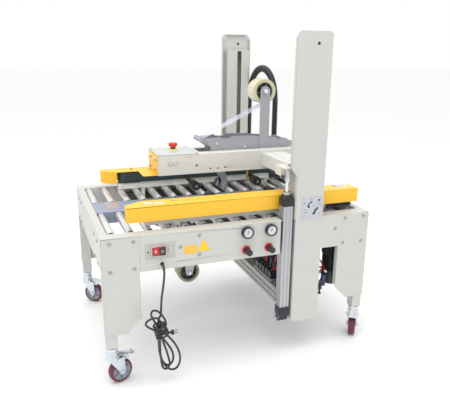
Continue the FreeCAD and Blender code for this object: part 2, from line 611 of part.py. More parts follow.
def castor(ang):
    """Swivel fork and wheel at the origin, wheel trailing along +X, then turned."""
    stem = cz(118, 196, 0, 0, 6.0)
    race = cz(128, 164, 0, 0, 24)
    race = fuse(race, Part.makeCone(30, 24, 14, V(0, 0, 114), V(0, 0, 1)))
    crown = xy([(-26, -25), (TRAIL + 10, -25), (TRAIL + 10, 25), (-26, 25)], 108, 116, [10, 6, 6, 10])
    out = [stem, race, crown]
    for s in (-1, 1):
        y0_ = 18.5 if s > 0 else -21.5
        leg_ = xz([(-22, 116), (TRAIL + 8, 116), (TRAIL + 13, 50), (TRAIL + 6, 38), (TRAIL - 8, 38), (TRAIL - 14, 56)],
                  y0_, y0_ + 3, [0, 0, 8, 6, 6, 12])
        out.append(leg_)
    out.append(cy(-25, 25, TRAIL, WHEEL_R, 5.0))
    out.append(cy(-25, -21.5, TRAIL, WHEEL_R, 9))
    out.append(cy(21.5, 25, TRAIL, WHEEL_R, 9))
    pedal = xz([(-10, 112), (TRAIL + 52, 106), (TRAIL + 62, 112), (TRAIL + 58, 118), (TRAIL + 14, 124), (-10, 121)], -17, 17, [0, 4, 4, 4, 10, 0])
    out.append(pedal)
    fork = fuse(*out)
    tread = cy(-16, 16, TRAIL, WHEEL_R, WHEEL_R)
    hub = cy(-17.5, 17.5, TRAIL, WHEEL_R, 14)
    wheel = cut(fuse(tread, hub),
                cy(-17, -12, TRAIL, WHEEL_R, 34).cut(cy(-17, -12, TRAIL, WHEEL_R, 14)),
                cy(12, 17, TRAIL, WHEEL_R, 34).cut(cy(12, 17, TRAIL, WHEEL_R, 14)),
                cy(-30, 30, TRAIL, WHEEL_R, 5.06))
    return fork, wheel


for nm, px, py, ang in castors:
    f, w = castor(ang)
    for kind, s in (("fork", f), ("wheel", w)):
        s = s.copy()
        s.rotate(V(0, 0, 0), V(0, 0, 1), ang)
        s.translate(V(px, py, 0))
        add("castor_%s_%s" % (kind, nm), s)

# ---- power cord ----------------------------------------------------------------
gland = fuse(cy(-8, 30, 229, 505, 7.9), cy(-8, 0, 229, 505, 12), Part.makeCone(10, 6.5, 14, V(229, -8, 505), V(0, -1, 0)))
route = [(229, -22, 505), (229, -40, 500), (227, -50, 478), (222, -50, 430), (216, -44, 385), (213, -42, 340)]


def tube_along(pts, r):
    """Straight runs joined by tangent arcs, one closed tube."""
    P = [V(*p) for p in pts]
    segs = []
    cur = P[0]
    radii = []
    for i in range(1, len(P) - 1):
        a = (P[i - 1] - P[i])
        b_ = (P[i + 1] - P[i])
        half_ = a.getAngle(b_) / 2.0
        turn = math.pi - 2 * half_
        shorter = min(a.Length, b_.Length)
        rad = 0.45 * shorter / math.tan(turn / 2.0)
        d = rad * math.tan(turn / 2.0)
        ua, ub = V(a).normalize(), V(b_).normalize()
        s, e = P[i] + ua * d, P[i] + ub * d
        c = P[i] + (ua + ub).normalize() * (rad / math.cos(turn / 2.0))
        m = c + (P[i] - c).normalize() * rad
        if (s - cur).Length > 1e-6:
            segs.append(Part.LineSegment(cur, s).toShape())
        segs.append(Part.Arc(s, m, e).toShape())
        cur = e
        radii.append(rad)
    segs.append(Part.LineSegment(cur, P[-1]).toShape())
    w = Part.Wire(segs)
    d0 = (P[1] - P[0]).normalize()
    prof_ = Part.Wire(Part.makeCircle(r, P[0], d0))
    sh = w.makePipeShell([prof_], True, True)
    sol = solid(sh)
    print("cord arcs mm", [round(x, 1) for x in radii], "length", round(w.Length, 1),
          "volume ratio", round(sol.Volume / (math.pi * r * r * w.Length), 4))
    return sol


add("cord_gland", gland)
add("cord_run", tube_along(route, CORD_R))
# the hank's outer shape: flat bundle that hangs from the run's end
hank = xz([(166, 340), (224, 340), (240, 292), (249.2, 240), (249.2, 205), (262, 196), (284, 165), (297, 120), (297, 78), (284, 46), (262, 36), (236, 43),
           (214, 68), (203, 110), (197, 190), (180, 222), (152, 254), (142, 280), (150, 305)],
          -64, -16, [10, 8, 12, 0, 0, 8, 10, 14, 14, 12, 12, 12, 12, 12, 10, 10, 8, 8, 10])
add("cord_hank", hank)
plug = fuse(box(249.2, 262, -50, -28, 210, 232), cx(262, 281, -39, 216, 2.4), cx(262, 281, -39, 226, 2.4))
add("cord_plug", plug)

# ---- write ----------------------------------------------------------------------
lo = V(1e9, 1e9, 1e9)
hi = V(-1e9, -1e9, -1e9)
for name, shape in parts.items():
    s = shape.copy()
    s.translate(V(-ORIGIN_X, -ORIGIN_Y, 0))
    if s.ShapeType == "Compound" and len(s.Solids) == 1:
        s = s.Solids[0]
    bad = [i for i, q in enumerate(s.Solids) if not q.isValid() or q.Volume <= 0]
    bb = s.BoundBox
    print("%-26s solids %2d vol %10.0f  x %7.1f %7.1f  y %7.1f %7.1f  z %7.1f %7.1f %s" % (
        name, len(s.Solids), s.Volume, bb.XMin, bb.XMax, bb.YMin, bb.YMax, bb.ZMin, bb.ZMax, "BAD" if bad or not s.Solids else ""))
    if not name.startswith("cord"):
        lo = V(min(lo.x, bb.XMin), min(lo.y, bb.YMin), min(lo.z, bb.ZMin))
        hi = V(max(hi.x, bb.XMax), max(hi.y, bb.YMax), max(hi.z, bb.ZMax))
    s.exportStep("parts/%s.step" % name)
print(len(parts), "nodes; box without the cord", lo, hi)
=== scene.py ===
import json
import math
import bpy
import bmesh
import mathutils
from mathutils import Matrix, Vector
from mathutils.bvhtree import BVHTree

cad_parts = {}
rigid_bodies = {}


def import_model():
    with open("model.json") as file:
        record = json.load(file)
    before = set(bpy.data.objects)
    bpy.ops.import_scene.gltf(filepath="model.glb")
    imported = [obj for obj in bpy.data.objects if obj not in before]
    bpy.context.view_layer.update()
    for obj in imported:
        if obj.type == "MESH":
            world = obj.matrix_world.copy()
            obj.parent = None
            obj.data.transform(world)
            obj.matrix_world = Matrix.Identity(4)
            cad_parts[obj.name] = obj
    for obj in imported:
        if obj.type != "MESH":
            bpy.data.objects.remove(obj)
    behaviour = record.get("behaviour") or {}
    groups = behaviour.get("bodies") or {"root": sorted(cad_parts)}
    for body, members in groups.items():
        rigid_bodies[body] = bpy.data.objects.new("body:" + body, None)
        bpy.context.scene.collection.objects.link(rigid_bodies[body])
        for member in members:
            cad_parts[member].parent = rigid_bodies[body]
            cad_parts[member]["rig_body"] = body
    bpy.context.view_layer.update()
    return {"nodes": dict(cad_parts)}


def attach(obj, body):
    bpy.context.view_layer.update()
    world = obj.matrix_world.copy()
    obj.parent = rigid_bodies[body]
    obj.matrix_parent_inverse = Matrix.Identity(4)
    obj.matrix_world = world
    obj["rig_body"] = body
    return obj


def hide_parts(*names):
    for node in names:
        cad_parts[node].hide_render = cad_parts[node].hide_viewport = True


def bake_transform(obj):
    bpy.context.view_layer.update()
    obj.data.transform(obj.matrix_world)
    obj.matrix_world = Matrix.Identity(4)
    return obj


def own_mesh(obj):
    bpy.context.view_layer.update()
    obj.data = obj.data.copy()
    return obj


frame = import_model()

NODES = frame["nodes"]
OX, OY = 603.64, 405.23


def P(x, y, z):
    """Machine working coordinates in mm to the row frame in metres."""
    return ((x - OX) / 1000.0, (y - OY) / 1000.0, z / 1000.0)


TO_ROW = Matrix.Translation((-OX / 1000.0, -OY / 1000.0, 0)) @ Matrix.Scale(0.001, 4)

# ------------------------------------------------------------------ camera
cam_data = bpy.data.cameras.new("camera")
cam = bpy.data.objects.new("camera", cam_data)
bpy.context.scene.collection.objects.link(cam)
yaw, pit, roll = 0.3605, 0.2746, 0.0117
f = Vector((math.sin(yaw) * math.cos(pit), math.cos(yaw) * math.cos(pit), -math.sin(pit)))
r = Vector((math.cos(yaw), -math.sin(yaw), 0))
u = r.cross(f)
right = r * math.cos(roll) + u * math.sin(roll)
up = -r * math.sin(roll) + u * math.cos(roll)
m = Matrix.Identity(4)
for i in range(3):
    m[i][0], m[i][1], m[i][2] = right[i], up[i], -f[i]
m.translation = Vector((-0.835383, -2.317226, 1.312221))
cam.matrix_world = m
cam_data.sensor_width = 36.0
cam_data.lens = 43.208
cam_data.clip_start = 0.05
cam_data.clip_end = 200
bpy.context.scene.camera = cam
bpy.context.scene.view_settings.view_transform = "Standard"


# ------------------------------------------------------------------ materials
def mat(name, base, rough=0.5, metal=0.0, vary=0.05, scale=9.0, bump=0.06, bump_scale=700.0, rough_var=0.06,
        coat=0.0, coat_rough=0.15, wear=None, recess_shade=0.0, transmission=0.0, ior=1.5, alpha=1.0, emit=0.0,
        sub=0.0, stretch=None, sheen=0.0, fleck=0.0, bands=None, edge=0.0012, spec=0.5):
    """A painted, moulded, rubber or metal surface. base is linear RGB."""
    mt = bpy.data.materials.new(name)
    mt.use_nodes = True
    nt = mt.node_tree
    nt.nodes.clear()
    N, L = nt.nodes.new, nt.links.new
    out = N("ShaderNodeOutputMaterial")
    b = N("ShaderNodeBsdfPrincipled")
    L(b.outputs[0], out.inputs[0])
    b.inputs["Metallic"].default_value = metal
    b.inputs["IOR"].default_value = ior
    b.inputs["Specular IOR Level"].default_value = spec
    b.inputs["Coat Weight"].default_value = coat
    b.inputs["Coat Roughness"].default_value = coat_rough
    b.inputs["Transmission Weight"].default_value = transmission
    b.inputs["Alpha"].default_value = alpha
    b.inputs["Sheen Weight"].default_value = sheen
    if sub:
        b.inputs["Subsurface Weight"].default_value = sub
        b.inputs["Subsurface Radius"].default_value = (0.006, 0.005, 0.003)
        b.inputs["Subsurface Scale"].default_value = 1.0
    if emit:
        b.inputs["Emission Color"].default_value = (*base, 1)
        b.inputs["Emission Strength"].default_value = emit
    tc = N("ShaderNodeTexCoord")
    src = tc.outputs["Object"]
    if stretch:
        mp = N("ShaderNodeMapping")
        mp.inputs["Scale"].default_value = stretch
        L(src, mp.inputs["Vector"])
        fine_src = mp.outputs[0]
    else:
        fine_src = src
    if transmission:
        b.inputs["Base Color"].default_value = (*base, 1)
        b.inputs["Roughness"].default_value = rough
        ng = N("ShaderNodeTexNoise")
        ng.inputs["Scale"].default_value = bump_scale
        L(tc.outputs["Object"], ng.inputs["Vector"])
        bg_ = N("ShaderNodeBump")
        bg_.inputs["Strength"].default_value = 0.01
        bg_.inputs["Distance"].default_value = 0.0002
        L(ng.outputs["Fac"], bg_.inputs["Height"])
        L(bg_.outputs[0], b.inputs["Normal"])
        return mt
    # slow variation of the colour
    n1 = N("ShaderNodeTexNoise")
    n1.inputs["Scale"].default_value = scale
    n1.inputs["Detail"].default_value = 5.0
    n1.inputs["Roughness"].default_value = 0.6
    L(src, n1.inputs["Vector"])
    mix = N("ShaderNodeMix")
    mix.data_type = "RGBA"
    mix.inputs[6].default_value = (*[c * (1 - vary) for c in base], 1)
    mix.inputs[7].default_value = (*[min(1.0, c * (1 + vary)) for c in base], 1)
    L(n1.outputs["Fac"], mix.inputs[0])
    col = mix.outputs[2]
    n2 = N("ShaderNodeTexNoise")
    n2.inputs["Scale"].default_value = bump_scale
    n2.inputs["Detail"].default_value = 3.0
    L(fine_src, n2.inputs["Vector"])
    if fleck:
        rmp = N("ShaderNodeMapRange")
        rmp.inputs[1].default_value, rmp.inputs[2].default_value = 0.35, 0.7
        rmp.inputs[3].default_value, rmp.inputs[4].default_value = 1 - fleck, 1 + fleck
        L(n2.outputs["Fac"], rmp.inputs[0])
        mm = N("ShaderNodeVectorMath")
        mm.operation = "SCALE"
        L(col, mm.inputs[0])
        L(rmp.outputs[0], mm.inputs["Scale"])
        col = mm.outputs[0]
    if bands:
        axis, freq, depth = bands
        wv = N("ShaderNodeTexWave")
        wv.wave_type = "BANDS"
        wv.bands_direction = axis
        wv.inputs["Scale"].default_value = freq
        wv.inputs["Distortion"].default_value = 0.6
        wv.inputs["Detail"].default_value = 2.0
        L(src, wv.inputs["Vector"])
        mr = N("ShaderNodeMapRange")
        mr.inputs[3].default_value, mr.inputs[4].default_value = 1 - depth, 1 + depth * 0.5
        L(wv.outputs["Fac"], mr.inputs[0])
        mm = N("ShaderNodeVectorMath")
        mm.operation = "SCALE"
        L(col, mm.inputs[0])
        L(mr.outputs[0], mm.inputs["Scale"])
        col = mm.outputs[0]
    # painted shade: the colour is darkened where ambient occlusion finds corners, recesses and gaps between parts
    if recess_shade:
        ao = N("ShaderNodeAmbientOcclusion")
        ao.inputs["Distance"].default_value = 0.03
        ao.samples = 4
        mr = N("ShaderNodeMapRange")
        mr.inputs[1].default_value, mr.inputs[2].default_value = 0.2, 0.95
        mr.inputs[3].default_value, mr.inputs[4].default_value = 1 - recess_shade, 1.0
        L(ao.outputs["AO"], mr.inputs[0])
        mm = N("ShaderNodeVectorMath")
        mm.operation = "SCALE"
        L(col, mm.inputs[0])
        L(mr.outputs[0], mm.inputs["Scale"])
        col = mm.outputs[0]
    if wear:
        bv = N("ShaderNodeBevel")
        bv.samples = 4
        bv.inputs["Radius"].default_value = 0.0022
        geo = N("ShaderNodeNewGeometry")
        dot = N("ShaderNodeVectorMath")
        dot.operation = "DOT_PRODUCT"
        L(bv.outputs[0], dot.inputs[0])
        L(geo.outputs["Normal"], dot.inputs[1])
        n3 = N("ShaderNodeTexNoise")
        n3.inputs["Scale"].default_value = 55.0
        n3.inputs["Detail"].default_value = 4.0
        L(src, n3.inputs["Vector"])
        mr = N("ShaderNodeMapRange")
        mr.inputs[1].default_value, mr.inputs[2].default_value = 0.985, 0.80
        mr.inputs[3].default_value, mr.inputs[4].default_value = 0.0, 1.0
        L(dot.outputs["Value"], mr.inputs[0])
        mr2 = N("ShaderNodeMapRange")
        mr2.inputs[1].default_value, mr2.inputs[2].default_value = 0.50, 0.68
        L(n3.outputs["Fac"], mr2.inputs[0])
        mu = N("ShaderNodeMath")
        mu.operation = "MULTIPLY"
        L(mr.outputs[0], mu.inputs[0])
        L(mr2.outputs[0], mu.inputs[1])
        mw = N("ShaderNodeMix")
        mw.data_type = "RGBA"
        L(mu.outputs[0], mw.inputs[0])
        L(col, mw.inputs[6])
        mw.inputs[7].default_value = (*wear, 1)
        col = mw.outputs[2]
    L(col, b.inputs["Base Color"])
    # roughness that follows the same fine grain and the slow variation
    mr = N("ShaderNodeMapRange")
    mr.inputs[1].default_value, mr.inputs[2].default_value = 0.3, 0.7
    mr.inputs[3].default_value, mr.inputs[4].default_value = max(0.02, rough - rough_var), min(1, rough + rough_var)
    L(n1.outputs["Fac"], mr.inputs[0])
    L(mr.outputs[0], b.inputs["Roughness"])
    bp = N("ShaderNodeBump")
    bp.inputs["Strength"].default_value = bump
    bp.inputs["Distance"].default_value = 0.0006
    L(n2.outputs["Fac"], bp.inputs["Height"])
    if edge:
        be = N("ShaderNodeBevel")
        be.samples = 4
        be.inputs["Radius"].default_value = edge
        L(be.outputs[0], bp.inputs["Normal"])
    L(bp.outputs[0], b.inputs["Normal"])
    return mt


M = {
    "cream": mat("cream_powder_coat", (0.545, 0.552, 0.520), 0.42, vary=0.018, scale=4.0, bump=0.10, bump_scale=900, wear=(0.50, 0.49, 0.45), recess_shade=0.16),
    # painted light: a brighter copy of the cream coat, standing in for the light that falls on the head beam's front
    "cream_head": mat("cream_coat_lit_copy", (0.675, 0.678, 0.638), 0.42, vary=0.018, scale=4.0, bump=0.10, bump_scale=900, wear=(0.50, 0.49, 0.45), recess_shade=0.10),
    "duct": mat("dark_olive_duct", (0.052, 0.052, 0.036), 0.42, vary=0.15, scale=14, bump=0.08, bump_scale=700, recess_shade=0.2),
    "redhose": mat("red_air_hose", (0.50, 0.030, 0.030), 0.30, vary=0.06, scale=30, bump=0.03, coat=0.2),
    "bluehose": mat("blue_air_hose", (0.020, 0.045, 0.16), 0.30, vary=0.06, scale=30, bump=0.03, coat=0.2),
    "cream_in": mat("cream_inner", (0.54, 0.54, 0.50), 0.5, vary=0.03, bump=0.10, bump_scale=900, recess_shade=0.25),
    "spine": mat("blue_grey_paint", (0.255, 0.30, 0.405), 0.36, vary=0.03, bump=0.08, bump_scale=800, wear=(0.65, 0.68, 0.72), recess_shade=0.10),
    "yellow": mat("yellow_powder_coat", (0.93, 0.520, 0.030), 0.38, vary=0.02, scale=5.0, bump=0.08, bump_scale=800, wear=(0.80, 0.52, 0.16), recess_shade=0.12),
    "roller": mat("turned_zinc_steel", (0.80, 0.80, 0.80), 0.33, metal=0.80, vary=0.05, scale=14, bump=0.10, bump_scale=160, stretch=(1, 9, 1), rough_var=0.08, fleck=0.03),
    "alu": mat("anodised_aluminium", (0.47, 0.475, 0.495), 0.36, metal=0.85, vary=0.03, bump=0.08, bump_scale=200, stretch=(9, 9, 0.6), rough_var=0.05, fleck=0.03),
    "alu_rib": mat("drawn_aluminium", (0.44, 0.435, 0.42), 0.48, metal=0.55, vary=0.05, bump=0.10, bump_scale=200, stretch=(6, 0.5, 6), rough_var=0.06, fleck=0.05, recess_shade=0.3),
    "chrome": mat("ground_rod", (0.78, 0.79, 0.80), 0.14, metal=1.0, vary=0.02, bump=0.03, bump_scale=400, rough_var=0.04),
    "zinc": mat("bright_zinc", (0.66, 0.70, 0.75), 0.27, metal=0.95, vary=0.10, scale=40, bump=0.12, bump_scale=350, rough_var=0.12, fleck=0.05, recess_shade=0.3),
    "bolt": mat("bolt_steel", (0.42, 0.42, 0.41), 0.34, metal=0.9, vary=0.12, scale=80, bump=0.10, bump_scale=600, recess_shade=0.4),
    "grey": mat("grey_tape_frame", (0.335, 0.345, 0.37), 0.40, vary=0.03, bump=0.08, bump_scale=800, wear=(0.60, 0.60, 0.62), recess_shade=0.15),
    "blackp": mat("black_moulding", (0.022, 0.023, 0.026), 0.42, vary=0.15, scale=30, bump=0.10, bump_scale=1200, rough_var=0.08, recess_shade=0.2),
    "blueblack": mat("cylinder_cap", (0.012, 0.014, 0.020), 0.38, vary=0.12, scale=20, bump=0.16, bump_scale=900, rough_var=0.08),
    "blacks": mat("black_steel_paint", (0.028, 0.028, 0.030), 0.36, vary=0.12, scale=12, bump=0.08, bump_scale=800, wear=(0.16, 0.16, 0.16), recess_shade=0.2),
    "darks": mat("dark_plate", (0.055, 0.055, 0.052), 0.42, metal=0.3, vary=0.2, scale=12, bump=0.08, bump_scale=700, recess_shade=0.25),
    "rubber": mat("black_rubber", (0.020, 0.020, 0.022), 0.58, vary=0.2, scale=60, bump=0.18, bump_scale=1500, rough_var=0.1, sheen=0.15),
    "belt": mat("grip_belt", (0.018, 0.040, 0.042), 0.62, vary=0.2, scale=26, bump=0.35, bump_scale=1100, fleck=0.25, sheen=0.1),
    "red": mat("red_moulding", (0.62, 0.020, 0.020), 0.28, vary=0.04, bump=0.03, bump_scale=900, coat=0.3),
    "redlit": mat("red_lens", (0.42, 0.012, 0.016), 0.2, vary=0.10, scale=60, bump=0.02, coat=0.4, emit=0.10),
    "redlamp": mat("red_lamp_spot", (0.95, 0.22, 0.22), 0.2, vary=0.05, emit=0.5, bump=0.01),
    "white": mat("white_moulding", (0.80, 0.80, 0.80), 0.40, vary=0.02, bump=0.05, bump_scale=1000),
    "cover": mat("white_cover_paint", (0.50, 0.52, 0.525), 0.34, vary=0.015, bump=0.06, bump_scale=900, recess_shade=0.12),
    "plate": mat("grey_switch_plate", (0.46, 0.45, 0.42), 0.44, vary=0.03, bump=0.08, bump_scale=1000, recess_shade=0.15),
    "bezel": mat("switch_bezel", (0.56, 0.49, 0.44), 0.40, vary=0.04, bump=0.06, bump_scale=1000, recess_shade=0.25),
    "silver": mat("printed_foil", (0.52, 0.53, 0.58), 0.42, metal=0.25, vary=0.08, scale=60, bump=0.12, bump_scale=500, fleck=0.12),
    "label_dark": mat("label_ink", (0.030, 0.030, 0.038), 0.5, vary=0.1, bump=0.03),
    "label_mid": mat("label_ink_mid", (0.22, 0.22, 0.25), 0.5, vary=0.1, bump=0.03),
    "label_yel": mat("yellow_sticker", (0.90, 0.56, 0.02), 0.35, vary=0.03, scale=30, bump=0.04, coat=0.2),
    "label_gold": mat("gold_sticker", (0.83, 0.50, 0.05), 0.35, vary=0.12, scale=120, bump=0.04, coat=0.2),
    "label_pink": mat("pale_sticker", (0.38, 0.32, 0.31), 0.42, vary=0.04, scale=40, bump=0.04, coat=0.1),
    "label_pale": mat("cream_sticker", (0.66, 0.60, 0.52), 0.42, vary=0.03, scale=40, bump=0.04, coat=0.1),
    # white labels and marks; the same white also paints a highlight on the cutter guard
    "label_white": mat("white_decal_and_painted_glint", (0.74, 0.74, 0.76), 0.40, vary=0.03, scale=40, bump=0.04, coat=0.1),
    "label_blue": mat("blue_ink", (0.10, 0.16, 0.30), 0.45, vary=0.1, bump=0.03),
    "label_red": mat("red_ink", (0.50, 0.05, 0.05), 0.45, vary=0.1, bump=0.03),
    # painted light: the dial face glows a little so that it reads brighter than its lighting makes it
    "dial": mat("dial_painted_glow", (0.86, 0.90, 0.96), 0.42, vary=0.02, bump=0.02, emit=0.16),
    "glass": mat("gauge_glass", (1.0, 1.0, 1.0), 0.03, vary=0.0, bump=0.0, transmission=1.0, ior=1.45, edge=0, rough_var=0.01),
    "lime": mat("lime_ring", (0.66, 0.78, 0.22), 0.40, vary=0.04, bump=0.05),
    "tape": mat("wound_tape", (0.60, 0.57, 0.41), 0.26, vary=0.05, scale=20, bump=0.10, bump_scale=500, sub=0.25, coat=0.5, coat_rough=0.08),
    "tape_side": mat("tape_edges", (0.58, 0.545, 0.37), 0.40, vary=0.08, scale=30, bump=0.25, bump_scale=900, sub=0.2, coat=0.2),
    "film": mat("clear_film", (0.62, 0.68, 0.86), 0.16, vary=0.04, scale=30, bump=0.05, bump_scale=120, alpha=0.34, coat=0.6, coat_rough=0.06, edge=0),
    "khaki": mat("khaki_tape_edge", (0.30, 0.28, 0.19), 0.45, vary=0.08, scale=30, bump=0.2, bump_scale=900, sub=0.1),
    "brass": mat("brass", (0.62, 0.40, 0.10), 0.26, metal=0.9, vary=0.08, scale=60, bump=0.08),
    "tread": mat("maroon_tread", (0.135, 0.016, 0.030), 0.46, vary=0.12, scale=30, bump=0.20, bump_scale=700, coat=0.1, recess_shade=0.3),
    "hub": mat("blue_grey_hub", (0.27, 0.31, 0.38), 0.40, vary=0.08, scale=30, bump=0.10, bump_scale=900, recess_shade=0.3),
    "cordm": mat("cord_jacket", (0.026, 0.026, 0.029), 0.46, vary=0.15, scale=60, bump=0.08, bump_scale=900, sheen=0.08),
    "hose": mat("hose_jacket", (0.014, 0.016, 0.022), 0.34, vary=0.15, scale=40, bump=0.08, bump_scale=900),
    "motor": mat("motor_paint", (0.022, 0.024, 0.028), 0.34, vary=0.15, scale=18, bump=0.14, bump_scale=500, recess_shade=0.2),
    "beam": mat("beam_paint", (0.76, 0.76, 0.71), 0.40, vary=0.02, bump=0.08, bump_scale=900, wear=(0.5, 0.5, 0.48), recess_shade=0.2),
    "steel": mat("machined_steel", (0.50, 0.50, 0.52), 0.30, metal=0.9, vary=0.06, scale=30, bump=0.08, bump_scale=400, fleck=0.04),
    "bluet": mat("blue_fitting", (0.02, 0.06, 0.30), 0.3, vary=0.05, bump=0.03),
}

# ------------------------------------------------------------------ mesh code
AX = {"x": Vector((1, 0, 0)), "y": Vector((0, 1, 0)), "z": Vector((0, 0, 1))}
PL = {"xz": (Vector((1, 0, 0)), Vector((0, 0, 1)), Vector((0, 1, 0))),
      "xy": (Vector((1, 0, 0)), Vector((0, 1, 0)), Vector((0, 0, 1))),
      "yz": (Vector((0, 1, 0)), Vector((0, 0, 1)), Vector((1, 0, 0)))}


def fillet(pts, rad, seg=5):
    """2-D polygon with its corners rounded."""
    n = len(pts)
    rad = rad if isinstance(rad, (list, tuple)) else [rad] * n
    out = []
    for i in range(n):
        a, p, b = Vector(pts[i - 1]), Vector(pts[i]), Vector(pts[(i + 1) % n])
        rr = rad[i]
        if rr <= 0:
            out.append(tuple(p))
            continue
        ua, ub = (a - p).normalized(), (b - p).normalized()
        ang = ua.angle(ub)
        d = rr / math.tan(ang / 2)
        d = min(d, 0.49 * (a - p).length, 0.49 * (b - p).length)
        rr = d * math.tan(ang / 2)
        c = p + (ua + ub).normalized() * (rr / math.sin(ang / 2))
        s, e = p + ua * d - c, p + ub * d - c
        tot = s.angle_signed(e)
        for k in range(seg + 1):
            t = -tot * k / seg
            out.append((c.x + s.x * math.cos(t) - s.y * math.sin(t), c.y + s.x * math.sin(t) + s.y * math.cos(t)))
    return out


def circle(cx_, cy_, rr, n=28, start=0.0):
    return [(cx_ + rr * math.cos(start + 2 * math.pi * k / n), cy_ + rr * math.sin(start + 2 * math.pi * k / n)) for k in range(n)]


class Piece:
    """One mesh object, drawn in millimetres in the machine's working coordinates."""

    def __init__(self, name):
        self.name = name
        self.bm = bmesh.new()
        self.mats = []

    def mi(self, key):
        if key not in self.mats:
            self.mats.append(key)
        return self.mats.index(key)

    def take(self, tmp, matrix=None):
        if matrix is not None:
            bmesh.ops.transform(tmp, matrix=matrix, verts=tmp.verts)
        me = bpy.data.meshes.new("tmp")
        tmp.to_mesh(me)
        tmp.free()
        self.bm.from_mesh(me)
        bpy.data.meshes.remove(me)

    def lathe(self, prof, c, axis, key, seg=40, hexes=(), matrix=None, start=0.0):
        """Turned shape: prof is (radius, distance along the axis) in order, key one material or one per step."""
        a = AX[axis] if isinstance(axis, str) else Vector(axis).normalized()
        s = a.orthogonal().normalized()
        if axis == "y":
            s = Vector((1, 0, 0))
        elif axis == "z":
            s = Vector((1, 0, 0))
        elif axis == "x":
            s = Vector((0, 1, 0))
        t = a.cross(s)
        c = Vector(c)
        tmp = bmesh.new()
        rings = []
        for i, (rr, d) in enumerate(prof):
            if rr < 1e-6:
                rings.append([tmp.verts.new(c + a * d)])
                continue
            ring = []
            for k in range(seg):
                th = start + 2 * math.pi * k / seg
                q = rr
                if i in hexes:
                    w = (th % (math.pi / 3)) - math.pi / 6
                    q = rr * math.cos(math.pi / 6) / math.cos(w)
                ring.append(tmp.verts.new(c + a * d + (s * math.cos(th) + t * math.sin(th)) * q))
            rings.append(ring)
        for i in range(len(prof) - 1):
            k_ = key[i] if isinstance(key, (list, tuple)) else key
            idx = self.mi(k_)
            A, B = rings[i], rings[i + 1]
            if len(A) == 1 and len(B) == 1:
                continue
            for k in range(seg):
                k2 = (k + 1) % seg
                if len(A) == 1:
                    fc = tmp.faces.new((A[0], B[k], B[k2]))
                elif len(B) == 1:
                    fc = tmp.faces.new((A[k], B[0], A[k2]))
                else:
                    fc = tmp.faces.new((A[k], B[k], B[k2], A[k2]))
                fc.material_index = idx
        bmesh.ops.recalc_face_normals(tmp, faces=tmp.faces)
        self.take(tmp, matrix)
        return self

    def prism(self, pts, plane, a, b, key, bev=0.6, seg=2, holes=(), matrix=None, caps=None):
        """Polygon swept from a to b along the plane's normal, its long edges eased by bev."""
        U, W, D = PL[plane]
        tmp = bmesh.new()
        idx = self.mi(key)
        edges = []
        for loop in [pts, *holes]:
            vs = [tmp.verts.new(U * p[0] + W * p[1] + D * a) for p in loop]
            for i in range(len(vs)):
                edges.append(tmp.edges.new((vs[i - 1], vs[i])))
        if holes:
            bmesh.ops.triangle_fill(tmp, use_beauty=True, use_dissolve=True, edges=edges)
        else:
            tmp.faces.new([v for v in tmp.verts])
        base = list(tmp.faces)
        ex = bmesh.ops.extrude_face_region(tmp, geom=base)
        vs = [g for g in ex["geom"] if isinstance(g, bmesh.types.BMVert)]
        bmesh.ops.translate(tmp, verts=vs, vec=D * (b - a))
        bmesh.ops.recalc_face_normals(tmp, faces=tmp.faces)
        for fc in tmp.faces:
            fc.material_index = idx
        if caps:
            ci = self.mi(caps)
            for fc in tmp.faces:
                if abs(fc.normal.dot(D)) > 0.99:
                    fc.material_index = ci
        if bev:
            es = [e for e in tmp.edges if len(e.link_faces) == 2 and e.calc_face_angle(0) > math.radians(28)]
            bmesh.ops.bevel(tmp, geom=es, offset=bev, offset_type="OFFSET", segments=seg, profile=0.6, affect="EDGES", clamp_overlap=True)
        self.take(tmp, matrix)
        return self

    def box(self, x0, x1, y0, y1, z0, z1, key, bev=0.8, seg=2, matrix=None):
        return self.prism([(x0, y0), (x1, y0), (x1, y1), (x0, y1)], "xy", z0, z1, key, bev, seg, matrix=matrix)

    def tube(self, pts, rr, key, seg=12, sub=6, closed=False):
        """Round bar or hose through points, smoothed."""
        q = []
        n = len(pts)
        V_ = [Vector(p) for p in pts]
        for i in range(n - 1):
            p0, p1, p2, p3 = V_[max(i - 1, 0)], V_[i], V_[i + 1], V_[min(i + 2, n - 1)]
            for k in range(sub):
                t = k / sub
                q.append(0.5 * ((2 * p1) + (-p0 + p2) * t + (2 * p0 - 5 * p1 + 4 * p2 - p3) * t * t + (-p0 + 3 * p1 - 3 * p2 + p3) * t ** 3))
        q.append(V_[-1])
        tmp = bmesh.new()
        idx = self.mi(key)
        tan = (q[1] - q[0]).normalized()
        nrm = tan.orthogonal().normalized()
        rings = []
        for i, p in enumerate(q):
            t2 = (q[min(i + 1, len(q) - 1)] - q[max(i - 1, 0)]).normalized()
            nrm = (nrm - t2 * nrm.dot(t2)).normalized()
            bn = t2.cross(nrm)
            rad = rr(i / (len(q) - 1)) if callable(rr) else rr
            rings.append([tmp.verts.new(p + (nrm * math.cos(2 * math.pi * k / seg) + bn * math.sin(2 * math.pi * k / seg)) * rad) for k in range(seg)])
        for A, B in zip(rings, rings[1:]):
            for k in range(seg):
                tmp.faces.new((A[k], A[(k + 1) % seg], B[(k + 1) % seg], B[k])).material_index = idx
        for ring in (rings[0], rings[-1]):
            tmp.faces.new(ring).material_index = idx
        bmesh.ops.recalc_face_normals(tmp, faces=tmp.faces)
        self.take(tmp)
        return self

    def done(self, body, replaces=(), smooth=34.0, mirror=None):
        me = bpy.data.meshes.new(self.name)
        bmesh.ops.transform(self.bm, matrix=TO_ROW, verts=self.bm.verts)
        bmesh.ops.recalc_face_normals(self.bm, faces=self.bm.faces)
        self.bm.to_mesh(me)
        self.bm.free()
        for k in self.mats:
            me.materials.append(M[k])
        me.shade_smooth()
        me.set_sharp_from_angle(angle=math.radians(smooth))
        ob = bpy.data.objects.new(self.name, me)
        bpy.context.scene.collection.objects.link(ob)
        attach(ob, body)
        if replaces:
            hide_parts(*replaces)
        return ob


